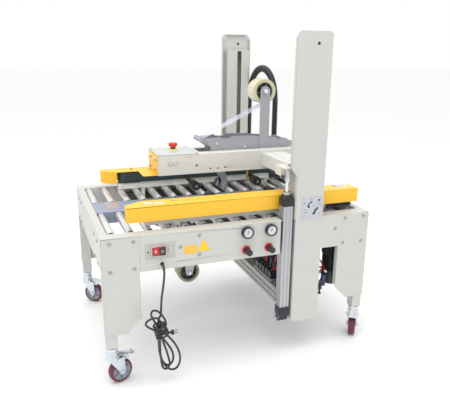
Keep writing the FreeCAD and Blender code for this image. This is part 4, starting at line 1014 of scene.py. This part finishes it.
# domed nut and washers that hold the roll on its post
pc.lathe([(13.5, 378.0), (13.5, 376.4), (12.9, 375.9), (10.4, 375.8), (10.2, 370.0), (8.8, 366.6), (6.0, 364.6), (0, 363.8)], (824, 0, 1122), "y",
         ["steel", "steel", "steel", "chrome", "chrome", "chrome", "chrome"], seg=36)
pc.lathe([(0, 461.2), (20, 461.2), (20.6, 462), (20.6, 466), (19.6, 467.4), (12, 467.8), (11, 473), (9, 475), (0, 475.6)], (824, 0, 1122), "y", "blackp", seg=36)
pc.done("head")


def wound_roll(name, body, node, cx_, cz_, rr, core, side_key, face_key):
    pc = Piece(name)
    y0, y1 = 389.0, 461.0
    prof = [(core + 3.2, y0 + 0.4)]
    n = 7
    for k in range(n + 1):
        q = core + 3.2 + (rr - 0.8 - core - 3.2) * k / n
        prof.append((q, y0 + (0.10 if k % 2 else 0.42)))
    prof += [(rr - 0.15, y0 + 0.5), (rr, y0 + 1.4), (rr, y1 - 1.4), (rr - 0.15, y1 - 0.5)]
    for k in range(n, -1, -1):
        q = core + 3.2 + (rr - 0.8 - core - 3.2) * k / n
        prof.append((q, y1 - (0.10 if k % 2 else 0.42)))
    prof.append((core + 3.2, y0 + 0.4))
    keys = [side_key] * (n + 1) + [face_key] * 4 + [side_key] * (n + 2)
    pc.lathe(prof, (cx_, 0, cz_), "y", keys[:len(prof) - 1], seg=72)
    pc.lathe([(core, y0 + 1.2), (core + 3.3, y0 + 0.9), (core + 3.3, y1 - 0.9), (core, y1 - 1.2), (core, y0 + 1.2)], (cx_, 0, cz_), "y", "khaki", seg=64)
    for s_, ya in ((1, y0), (-1, y1)):
        pc.lathe([(8.1, ya + 30 * s_), (8.1, ya - 0.2 * s_), (9.2, ya - 1.0 * s_), (13.6, ya - 1.0 * s_), (14.4, ya - 0.2 * s_), (14.6, ya + 9 * s_), (31.5, ya + 10 * s_), (33, ya + 2.4 * s_),
                  (34, ya + 1.6 * s_), (core - 0.7, ya + 1.6 * s_), (core, ya + 2.6 * s_), (core, ya + 34 * s_)], (cx_, 0, cz_), "y", "blackp", seg=56)
        for k in range(6):
            rot = Matrix.Translation((cx_, 0, cz_)) @ Matrix.Rotation(k * math.pi / 3 + 0.3, 4, "Y") @ Matrix.Translation((-cx_, 0, -cz_))
            pc.box(cx_ - 1.6, cx_ + 1.6, min(ya + 2.6 * s_, ya + 11 * s_), max(ya + 2.6 * s_, ya + 11 * s_), cz_ + 14, cz_ + 32.5, "blackp", 0.6, 1, matrix=rot)
    pc.done(body, [node])


wound_roll("tape_roll_upper", "upper_roll", "upper_tape_roll", 824, 1122, 56.0, 38.0, "tape_side", "tape")
wound_roll("tape_roll_lower", "lower_roll", "lower_tape_roll", 455, 278, 53.0, 41.0, "khaki", "khaki")
pc = Piece("lower_roll_nut")
pc.lathe([(12.5, 378), (12.5, 374.6), (11.6, 374.0), (9.4, 374.0), (9.2, 369.5), (7.6, 366.6), (4.0, 365.8), (0, 365.6)], (455, 0, 278), "y", "zinc", seg=28, hexes=(3, 4))
pc.lathe([(16, 384.0), (16, 385.6), (10, 386.0)], (455, 0, 278), "y", "steel", seg=28)
pc.done("frame")
paint_node("tape_web", "film")


# applicator arms and rollers
def stadium(p, q, wp, wq, n=10):
    d = (Vector(q) - Vector(p)).normalized()
    a = math.atan2(d.y, d.x)
    out = [(p[0] + wp * math.cos(a + math.pi / 2 + math.pi * k / n), p[1] + wp * math.sin(a + math.pi / 2 + math.pi * k / n)) for k in range(n + 1)]
    out += [(q[0] + wq * math.cos(a - math.pi / 2 + math.pi * k / n), q[1] + wq * math.sin(a - math.pi / 2 + math.pi * k / n)) for k in range(n + 1)]
    return out


def arm(pc, p, q, key="darks", y0=394.0, y1=456.0):
    d = (Vector(q) - Vector(p))
    for a, b, wp, wq in ((y0 - 4.6, y0 - 1.0, 5.0, 3.2), (y1 + 1.0, y1 + 5.0, 13.0, 9.0)):
        mid1 = Vector(p) + d * 0.38
        mid2 = Vector(p) + d * 0.62
        slot_ = stadium(tuple(mid1), tuple(mid2), wp * 0.32, wp * 0.29, 8)
        pc.prism(stadium(p, q, wp, wq), "xz", a, b, key, 0.7, holes=[slot_])
    pc.lathe([(0, y0 - 12), (6.7, y0 - 12), (7.1, y0 - 11.4), (7.1, y0 - 5), (12.0, y0 - 5), (12.0, y1 + 5), (7.1, y1 + 5), (7.1, y1 + 11.4), (6.7, y1 + 12), (0, y1 + 12)],
             (p[0], 0, p[1]), "y", "steel", seg=30)
    m3 = Vector(p) + d * 0.80 if d.length > 60 else Vector(p) + d * 0.5
    pc.lathe([(0, y0 - 6.2), (2.7, y0 - 6.2), (3.1, y0 - 5.8), (3.1, y0 - 1), (0, y0 - 1)], (q[0], 0, q[1]), "y", "zinc", seg=20)
    pc.lathe([(0, y1 + 5.8), (4.6, y1 + 5.8), (5.2, y1 + 5.2), (5.2, y1 + 1), (0, y1 + 1)], (q[0], 0, q[1]), "y", "steel", seg=20)
    pc.lathe([(0, y0 - 1.2), (3.9, y0 - 1.2), (3.9, y1 + 1.2), (0, y1 + 1.2)], (q[0], 0, q[1]), "y", "steel", seg=20)


def rubber_roll(pc, q, rr=21.0, y0=394.5, y1=455.5):
    pc.lathe([(4.1, y0 + 3), (4.1, y0), (8.0, y0), (8.4, y0 + 0.8), (8.6, y0 + 2.2), (14.0, y0 + 2.2), (14.6, y0 + 0.4), (19.6, y0), (20.7, y0 + 0.5), (21.0, y0 + 1.8),
              (21.0, y1 - 1.8), (20.7, y1 - 0.5), (19.6, y1), (14.6, y1 - 0.4), (14.0, y1 - 2.2), (8.6, y1 - 2.2), (8.4, y1 - 0.8), (8.0, y1), (4.1, y1), (4.1, y1 - 3)],
             (q[0], 0, q[1]), "y", ["steel"] * 3 + ["blackp"] * 3 + ["rubber"] * 7 + ["blackp"] * 3 + ["steel"] * 3, seg=48)


for nm, pv, rl in (("front", (385, 823), (496, 696)), ("rear", (693, 823), (804, 696))):
    pc = Piece("wipe_arm_upper_" + nm)
    arm(pc, pv, rl)
    pc.done("upper_%s_arm" % nm, ["upper_%s_arm" % nm])
    pc = Piece("wipe_roller_upper_" + nm)
    rubber_roll(pc, rl)
    pc.done("upper_%s_roller" % nm, ["upper_%s_roller" % nm])
for nm, pv, rl in (("front", (470, 530), (575, 636)), ("rear", (778, 530), (883, 636))):
    pc = Piece("wipe_arm_lower_" + nm)
    arm(pc, pv, rl)
    rubber_roll(pc, rl)
    pc.done("lower_%s_arm" % nm, ["lower_%s_arm" % nm])

pc = Piece("cutter_arm")
pc.prism(fillet([(588, 800), (612, 800), (650, 735), (655, 676), (640, 664), (620, 672), (622, 722)], [2, 2, 6, 8, 8, 8, 4]), "xz", 404, 446, "grey", 1.4)
pc.lathe([(0, 382), (5.6, 382), (6.0, 382.6), (6.0, 404), (12.4, 404.2), (13.2, 405), (13.2, 445), (12.4, 445.8), (6, 446), (6.0, 467.4), (5.6, 468), (0, 468)], (600, 0, 800), "y", "steel", seg=30)
pc.prism(fillet([(624, 726), (604, 716), (592, 690), (600, 684), (622, 702)], [1, 3, 3, 2, 1]), "xz", 408, 442, "blackp", 1.0)
# painted highlight: a thin white strip on the black guard stands in for the glint along its edge
pc.prism([(606, 712), (597, 692), (600, 689), (610, 706)], "xz", 407.2, 408.4, "label_white", 0.3)
pc.prism([(594, 692), (600, 686), (612, 694), (608, 700)], "xz", 409, 441, "steel", 0.4)
for x, z in ((640, 700), (632, 690)):
    pc.lathe([(4.2, 404.2), (4.2, 403.0), (3.4, 402.4), (0, 402.2)], (x, 0, z), "y", "zinc", seg=18)
pc.done("cutter", ["upper_cutter_arm"])

pc = Piece("stop_post")
pc.lathe([(0, 702), (4.6, 702), (5.6, 703.5), (5.6, 712), (4.4, 713), (4.4, 768), (7.0, 769), (7.0, 776), (0, 777)], (752, 404, 0), "z", "brass", seg=24, hexes=(6, 7))
pc.lathe([(4.2, 720), (7.0, 720.5), (7.0, 725.5), (4.2, 726)], (752, 404, 0), "z", "brass", seg=24)
pc.done("head")


# ------------------------------------------------------------------ ribbed hose
def ribbed(pc, path, pitch=6.6, r_out=14.0, r_in=11.8, seg=26, swell=lambda q: 1.0):
    """path(t) gives a point at t mm along it and the direction there; the length is read from the global path_len."""
    n = max(2, int(round(path_len / pitch)))
    tmp = bmesh.new()
    idx = pc.mi("hose")
    rings = []
    steps = []
    for i in range(n):
        b = path_len * i / n
        w = path_len / n
        steps += [(b, r_in), (b + w * 0.22, r_in), (b + w * 0.38, r_out * 0.985), (b + w * 0.55, r_out), (b + w * 0.82, r_out * 0.985)]
    steps.append((path_len, r_in))
    for s_, rr in steps:
        p, tdir = path(s_)
        rr = rr * swell(s_ / path_len)
        side = Vector((1, 0, 0))
        bn = tdir.cross(side).normalized()
        rings.append([tmp.verts.new(p + (side * math.cos(2 * math.pi * k / seg) + bn * math.sin(2 * math.pi * k / seg)) * rr) for k in range(seg)])
    for A, B in zip(rings, rings[1:]):
        for k in range(seg):
            tmp.faces.new((A[k], A[(k + 1) % seg], B[(k + 1) % seg], B[k])).material_index = idx
    tmp.faces.new(rings[0]).material_index = idx
    tmp.faces.new(rings[-1]).material_index = idx
    bmesh.ops.recalc_face_normals(tmp, faces=tmp.faces)
    pc.take(tmp)


path_len = 430.0 - 16
pc = Piece("hose_riser_gland")
pc.lathe([(0, 625), (15.4, 625), (16, 626), (16, 632), (15.2, 633), (15.2, 643), (14.6, 644), (0, 644)], (930, 812, 0), "z", "blackp", seg=36, hexes=(2, 3))
pc.done("frame")
pc = Piece("hose_riser")
ribbed(pc, lambda s_: (Vector((930, 812, 641 + s_)), Vector((0, 0, 1))))
me = bpy.data.meshes.new("hose_riser")
bmesh.ops.transform(pc.bm, matrix=TO_ROW, verts=pc.bm.verts)
pc.bm.to_mesh(me)
pc.bm.free()
me.materials.append(M["hose"])
me.shade_smooth()
ob = bpy.data.objects.new("hose_riser", me)
bpy.context.scene.collection.objects.link(ob)
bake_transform(ob)
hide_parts("umbilical_riser")
path_len = math.pi * 159.0
pc = Piece("hose_arch_ribbed")
ribbed(pc, lambda s_: (Vector((930, 653 + 159 * math.cos(s_ / 159.0), 1055 + 159 * math.sin(s_ / 159.0))),
                       Vector((0, -math.sin(s_ / 159.0), math.cos(s_ / 159.0)))), swell=lambda q: 1.0 + 0.22 * math.sin(math.pi * q) ** 2)
pc.done("hose_arch", ["umbilical_arch"], smooth=60)
path_len = 182.3
pc = Piece("hose_drop")
ribbed(pc, lambda s_: (Vector((930, 494, 872 + s_)), Vector((0, 0, 1))))
drop = pc.done("head", ["umbilical_drop"], smooth=60)
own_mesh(drop)


# ------------------------------------------------------------------ belt units
def unit(tag, mirrored):
    mm = Matrix.Translation((0, 850, 0)) @ Matrix.Scale(-1, 4, (0, 1, 0)) if mirrored else None
    PY = 122.0
    px0, px1 = 225.0, 1068.75
    pc = Piece(tag + "_unit_base")
    pc.prism(fillet([(190, PY - 21), (1008, PY - 21), (1008, PY + 24), (190, PY + 24)], 2.0), "xy", 629, 657, "beam", 1.4, matrix=mm)
    pc.prism(fillet([(1008.3, PY - 21), (1140, PY - 21), (1140, PY + 24), (1008.3, PY + 24)], 3.0), "xy", 629, 657, "motor", 1.6, matrix=mm,
             holes=[circle(px1, PY, 9.3, 24)])
    pc.lathe([(0, 656.5), (12, 656.5), (12, 662.6), (29.0, 662.6), (29.6, 663.4), (29.6, 708.4), (29.0, 709.2), (18, 709.2), (17, 707.6), (9.5, 707.6), (8, 709), (8, 715), (0, 715)],
             (px0, PY, 0), "z", "steel", seg=48, matrix=mm)
    pc.box(270, 1020, PY + 22.6, PY + 28.6, 663.5, 708.5, "white", 0.8, matrix=mm)
    pc.box(300, 990, PY + 12, PY + 23, 655.8, 680, "beam", 0.8, matrix=mm)
    for x in (420.0, 640.0, 860.0):
        pc.lathe([(8.5, 656.8), (8.5, 660), (6.6, 660.4), (6.6, 715), (0, 715)], (x, PY - 4, 0), "z", "steel", seg=20, hexes=(0, 1), matrix=mm)
    for gx in (314.25, 993.75):
        pc.box(gx - 8, gx + 8, PY - 18, PY + 18, 566, 630, "beam", 1.0, matrix=mm)
        pc.prism(fillet([(gx - 22, 524), (gx + 22, 524), (gx + 22, 568), (gx - 22, 568)], 5), "xz", PY - 22, PY + 22, "darks", 1.2, matrix=mm, holes=[circle(gx, 545, 12.15, 28)])
        for s_ in (-1, 1):
            ya = PY + 22 * s_
            pc.lathe([(12.15, ya), (12.15, ya + 2.0 * s_), (16.5, ya + 2.0 * s_), (17.5, ya + 1.0 * s_), (17.5, ya)], (gx, 0, 545), "y", "blackp", seg=30, matrix=mm)
    pc.done(tag + "_unit")
    pc = Piece(tag + "_drive_motor")
    # gearbox
    pc.lathe([(9.2, 629), (18.3, 629), (18.3, 592), (30, 591.6), (32, 590)], (px1, PY, 0), "z", "darks", seg=36, matrix=mm)
    pc.prism(fillet([(px1 - 46, PY - 46), (px1 + 46, PY - 46), (px1 + 46, PY + 44), (px1 - 46, PY + 44)], 9), "xy", 502, 591.5, "motor", 2.4, 3, matrix=mm)
    for sx in (-1, 1):
        for sy in (-1, 1):
            pc.lathe([(4.5, 591.2), (4.5, 594.4), (4.0, 595), (2.4, 595), (2.2, 592.6), (0, 592.6)], (px1 + sx * 37, PY - 1 + sy * 36, 0), "z", "bolt", seg=16, matrix=mm)
    # motor body with cooling fins
    n = 36
    loop = []
    for k in range(n * 4):
        th = 2 * math.pi * k / (n * 4)
        base = 41.8 if (k % 4) in (0, 1) else 37.0
        loop.append((px1 + base * math.cos(th), PY + base * math.sin(th)))
    pc.prism(loop, "xy", 318, 490, "motor", 0, matrix=mm)
    pc.lathe([(0, 503), (41, 503), (42, 501.5), (42, 488), (41, 486.5), (36, 486)], (px1, PY, 0), "z", "motor", seg=44, matrix=mm)
    pc.lathe([(36, 322), (41, 321.5), (42, 320), (42, 268), (40.5, 261), (36, 256), (24, 252), (12, 250.6), (0, 250.4)], (px1, PY, 0), "z", "motor", seg=44, matrix=mm)
    pc.box(px1 - 42, px1 - 22, PY - 26, PY + 22, 400, 470, "motor", 3.0, 3, matrix=mm)
    pc.done(tag + "_unit", [tag + "_base"])

    pc = Piece(tag + "_grip_belt")
    ro, ri = 33.9, 30.1
    A = [(px0 + ro * math.cos(t), PY + ro * math.sin(t)) for t in [math.pi / 2 + math.pi * k / 18 for k in range(19)]]
    B = [(px1 + ro * math.cos(t), PY + ro * math.sin(t)) for t in [-math.pi / 2 + math.pi * k / 18 for k in range(19)]]
    A2 = [(px0 + ri * math.cos(t), PY + ri * math.sin(t)) for t in [math.pi / 2 + math.pi * k / 18 for k in range(19)]]
    B2 = [(px1 + ri * math.cos(t), PY + ri * math.sin(t)) for t in [-math.pi / 2 + math.pi * k / 18 for k in range(19)]]
    pc.prism(A + B, "xy", 662, 710, "belt", 0.7, matrix=mm, holes=[A2 + B2])
    pc.done(tag + "_unit", [tag + "_belt"])

    pc = Piece(tag + "_drive_drum")
    pc.lathe([(0, 565), (8.6, 565), (9.0, 566), (9.0, 662.6), (29.0, 662.6), (29.6, 663.4), (29.6, 708.4), (29.0, 709.2), (18, 709.2), (17, 707.4), (9.0, 707.4), (9.0, 711.4), (8.2, 712), (0, 712)],
             (px1, PY, 0), "z", "steel", seg=48, matrix=mm)
    for k in range(30):
        rot = Matrix.Translation((px1, PY, 0)) @ Matrix.Rotation(2 * math.pi * k / 30, 4, "Z") @ Matrix.Translation((-px1, -PY, 0))
        pc.box(px1 - 0.9, px1 + 0.9, PY + 28.6, PY + 29.9, 664, 708, "darks", 0, matrix=(mm @ rot) if mm else rot)
    pc.done(tag + "_drive", [tag + "_drive_pulley"])

    pc = Piece(tag + "_guard_fittings")
    for x in (307.0, 323.0) if not mirrored else (262.0, 322.0):
        y = PY - 4 if not mirrored else PY - 16
        pc.lathe([(4.8, 717.8), (4.8, 718.6), (4.3, 719), (4.0, 720.2), (2.2, 720.8), (0, 720.9)] if not mirrored else
                 [(8.2, 717.8), (8.2, 719), (6.4, 719.2), (6.4, 723.4), (5.6, 724.2), (0, 724.4)], (x, y, 0), "z", "bolt", seg=20, matrix=mm)
    pc.done(tag + "_unit")


unit("near", False)
unit("far", True)

# ------------------------------------------------------------------ castors
for nm, cxx, cyy, ang in (("front_left", 25, 25, 20.0), ("front_right", 1145, 25, 55.0), ("rear_left", 25, 825, -35.0), ("rear_right", 1145, 825, -150.0)):
    mm = Matrix.Translation((cxx, cyy, 0)) @ Matrix.Rotation(math.radians(ang), 4, "Z")
    T_ = 34.0
    pc = Piece("castor_bracket_" + nm)
    pc.lathe([(0, 196), (5.9, 196), (6, 166), (18, 165), (23.2, 164), (24, 162.6), (24, 150), (22.4, 147.5), (24.0, 145.0), (24.2, 131), (26.4, 127.5), (29.6, 118), (30.4, 114.6), (28, 113.6), (0, 113.6)],
             (0, 0, 0), "z", "zinc", seg=44, matrix=mm)
    crown = fillet([(-26, -24.6), (T_ + 10, -24.6), (T_ + 10, 24.6), (-26, 24.6)], [12, 7, 7, 12], 6)
    pc.prism(crown, "xy", 108, 116, "zinc", 2.6, 3, matrix=mm)
    for s_ in (-1, 1):
        y0 = 18.5 if s_ > 0 else -21.5
        leg = fillet([(-22, 115), (T_ + 9, 115), (T_ + 14, 52), (T_ + 7, 37), (T_ - 8, 37), (T_ - 15, 56)], [4, 4, 12, 9, 9, 18], 6)
        pc.prism(leg, "xz", y0, y0 + 3, "zinc", 0.9, 2, matrix=mm)
        pc.lathe([(0, 21.3 * s_), (9.4, 21.3 * s_), (9.8, 21.8 * s_), (9.8, 22.4 * s_), (7.6, 22.6 * s_), (7.4, 26.0 * s_), (6.4, 27.0 * s_), (0, 27.2 * s_)], (T_, 0, 50), "y", "zinc", seg=24, hexes=(4, 5), matrix=mm)
    # brake pedal, a pressed plate with a curled toe
    ped = [(-8, 117.5), (T_ + 8, 121.5), (T_ + 34, 115.0), (T_ + 52, 108.8), (T_ + 58, 109.4), (T_ + 62, 113.4), (T_ + 60.0, 118.6), (T_ + 57.2, 118.0), (T_ + 57.6, 114.0),
           (T_ + 53, 112.6), (T_ + 36, 118.4), (T_ + 9, 125.0), (-9, 121.2)]
    pc.prism(ped, "xz", -16.5, 16.5, "zinc", 0.9, 2, matrix=mm)
    pc.box(T_ + 2, T_ + 30, -18.4, -15.2, 100, 119, "zinc", 1.0, 2, matrix=mm)
    pc.box(T_ + 2, T_ + 30, 15.2, 18.4, 100, 119, "zinc", 1.0, 2, matrix=mm)
    pc.lathe([(0, -23), (3.6, -23), (3.8, -22), (3.8, 22), (3.6, 23), (0, 23)], (T_ + 14, 0, 110), "y", "steel", seg=18, matrix=mm)
    pc.done("castor_" + nm, ["castor_fork_" + nm])

    pc = Piece("castor_wheel_tyre_" + nm)
    pc.lathe([(39.0, -13.0), (40.0, -15.2), (42, -16.0), (44.8, -15.5), (47.6, -13.4), (49.4, -9.0), (50.0, -4.0), (50.0, 4.0), (49.4, 9.0), (47.6, 13.4), (44.8, 15.5), (42, 16.0), (40.0, 15.2), (39.0, 13.0)],
             (T_, 0, 50), "y", "tread", seg=64, matrix=mm)
    pc.lathe([(5.1, -17.4), (12.6, -17.4), (13.8, -16.4), (14.2, -12.0), (16, -9.6), (33, -8.8), (36.4, -10.6), (39.2, -13.8), (39.6, 0), (39.2, 13.8), (36.4, 10.6), (33, 8.8), (16, 9.6), (14.2, 12.0), (13.8, 16.4), (12.6, 17.4), (5.1, 17.4), (5.1, -17.4)],
             (T_, 0, 50), "y", "hub", seg=56, matrix=mm)
    for k in range(6):
        rot = mm @ Matrix.Translation((T_, 0, 50)) @ Matrix.Rotation(k * math.pi / 3, 4, "Y") @ Matrix.Translation((-T_, 0, -50))
        for s_ in (-1, 1):
            pc.box(T_ - 1.6, T_ + 1.6, min(8.4 * s_, 12.6 * s_), max(8.4 * s_, 12.6 * s_), 50 + 14, 50 + 37.0, "hub", 0.8, 1, matrix=rot)
    pc.done("castor_%s_wheel" % nm, ["castor_wheel_" + nm])

# ------------------------------------------------------------------ electrics, valves
if "electrics_and_valves" in NODES:
    soften("electrics_and_valves", ["blacks", "duct", "alu_rib"], wide=1.4,
           paint=lambda x, y, z, n: 1 if z > 480 else (2 if x < 800 and z < 311 else 0))

# ------------------------------------------------------------------ painted shade in the mast holes, seams, air hoses
# painted shade: black discs close the mast holes, standing in for the shade inside the mast
for tag, y0, y1, y2 in (("front", 0.8, 2.9, 0.4), ("rear", 849.2, 847.1, 849.6)):
    pc = Piece("mast_hole_shade_fill_" + tag)
    pc.lathe([(0, y2), (4.8, y2), (5.8, y0), (6.45, y0), (6.45, y1), (0, y1)], (872, 0, 1333), "y", "blackp", seg=28)
    pc.done("frame")
pc = Piece("panel_seams")
for y0, y1 in ((1.0, 3.0), (847.0, 849.0)):
    pc.box(143.5, 147.5, y0, y1, 479.5, 622.0, "cream", 0)
pc.done("frame")
pc = Piece("air_hoses")
pc.tube([(694, 30, 500), (712, 48, 470), (742, 80, 446), (778, 118, 436), (796, 142, 410), (792, 146, 380), (778, 128, 362), (770, 125, 352)], 3.8, "redhose", seg=14, sub=6)
pc.tube([(594, 30, 500), (620, 60, 462), (672, 96, 440), (730, 122, 430), (770, 150, 410), (778, 160, 376), (771, 159, 352)], 3.4, "bluehose", seg=14, sub=6)
pc.tube([(786, 125, 350), (793, 120, 372), (803, 108, 366), (806, 98, 340), (803, 92, 308), (801, 90, 284)], 4.4, "redhose", seg=14, sub=6)
pc.lathe([(0, 288), (5, 287), (8.6, 284), (8.6, 262), (6.4, 258), (6.4, 246), (0, 245)], (801, 90, 0), "z", "blacks", seg=22, hexes=(2, 3))
pc.tube([(786, 159, 350), (792, 160, 378), (810, 176, 392), (832, 196, 384), (842, 214, 349)], 3.4, "bluehose", seg=14, sub=6)
pc.tube([(786, 193, 350), (792, 194, 384), (812, 214, 402), (838, 240, 392), (848, 258, 349)], 3.4, "cordm", seg=14, sub=6)
pc.tube([(786, 227, 350), (794, 226, 392), (816, 206, 420), (842, 176, 404), (856, 170, 349)], 3.8, "redhose", seg=14, sub=6)
pc.tube([(998, 176, 322), (1006, 140, 330), (1000, 92, 346), (982, 60, 350), (968, 52, 345), (962, 54, 332)], 4.6, "redhose", seg=16, sub=6)
pc.tube([(998, 190, 300), (1008, 150, 306), (1004, 96, 318), (990, 62, 316), (976, 52, 300), (974, 52, 280)], 4.2, "cordm", seg=16, sub=6)
pc.lathe([(0, 330), (6, 329), (9.6, 326), (9.6, 306), (7.0, 303), (7.0, 296), (9.8, 294), (9.8, 276), (0, 274)], (990, 52, 0), "z", "bluehose", seg=24)
pc.lathe([(0, 286), (8, 285), (11.0, 281), (11.0, 262), (7.0, 258), (4.4, 256), (4.4, 244), (7.4, 242), (7.4, 236), (0, 235)], (974, 52, 0), "z", "blacks", seg=24, hexes=(2, 3))
pc.box(968, 1003, 47, 57, 288, 300, "blacks", 1.4)
pc.lathe([(0, 3), (5.2, 3), (5.8, 0), (5.8, -9), (4.6, -11), (0, -11)], (996, 52, 345), "y", "label_white", seg=20)
pc.tube([(996, 52, 345), (1000, 70, 356), (1004, 110, 372), (1002, 160, 384), (998, 220, 349)], 3.2, "redhose", seg=14, sub=6)
pc.done("frame")

# ------------------------------------------------------------------ guard labels
pc = Piece("near_guard_stickers")
pc.prism(fillet([(186, 100), (268, 86), (274, 116), (192, 132)], 2.0), "xy", 718, 718.45, "label_pale", 0.15)
pc.lathe([(0, 718.8), (4.4, 718.7), (4.6, 718.4)], (226, 109, 0), "z", "label_red", seg=20)
pc.prism(fillet([(1056, 104), (1122, 104), (1122, 147), (1056, 147)], 2.0), "xy", 718, 718.45, "label_white", 0.15)
for x0, x1, y0, y1, kk in ((1058, 1066, 108, 143, "label_red"), (1084, 1106, 112, 119, "label_blue"), (1074, 1112, 128, 134, "label_mid"), (1070, 1080, 112, 118, "label_mid")):
    pc.prism([(x0, y0), (x1, y0), (x1, y1), (x0, y1)], "xy", 718.4, 718.6, kk, 0)
pc.done("near_unit")

# ------------------------------------------------------------------ stage
me = bpy.data.meshes.new("floor")
bm = bmesh.new()
bmesh.ops.create_grid(bm, x_segments=8, y_segments=8, size=30)
bm.to_mesh(me)
bm.free()
floor = bpy.data.objects.new("floor", me)
bpy.context.scene.collection.objects.link(floor)
mf = mat("studio_floor", (0.97, 0.97, 0.97), 0.6, vary=0.004, scale=0.8, bump=0.02, bump_scale=60, edge=0, spec=0.2)
me.materials.append(mf)
floor.location = (0, 0, -0.0004)

world = bpy.data.worlds.new("studio")
bpy.context.scene.world = world
world.use_nodes = True
bg = world.node_tree.nodes["Background"]
bg.inputs["Color"].default_value = (1.0, 1.0, 1.0, 1)
bg.inputs["Strength"].default_value = 1.0


def area(name, loc, target, size, power, colour=(1, 1, 1)):
    ld = bpy.data.lights.new(name, "AREA")
    ld.shape = "RECTANGLE"
    ld.size, ld.size_y = size
    ld.energy = power
    ld.color = colour
    lo = bpy.data.objects.new(name, ld)
    bpy.context.scene.collection.objects.link(lo)
    lo.location = loc
    lo.rotation_mode = "QUATERNION"
    lo.rotation_quaternion = (Vector(target) - Vector(loc)).to_track_quat("-Z", "Y")
    return lo


area("key_top", (-0.5, -0.5, 3.8), (0, 0, 0.5), (3.4, 2.8), 76)
area("fill_left", (-2.6, -2.6, 1.6), (0, 0, 0.8), (2.2, 2.2), 6)
area("rim_right", (3.0, 2.2, 2.6), (0, 0, 0.7), (2.0, 2.0), 10)
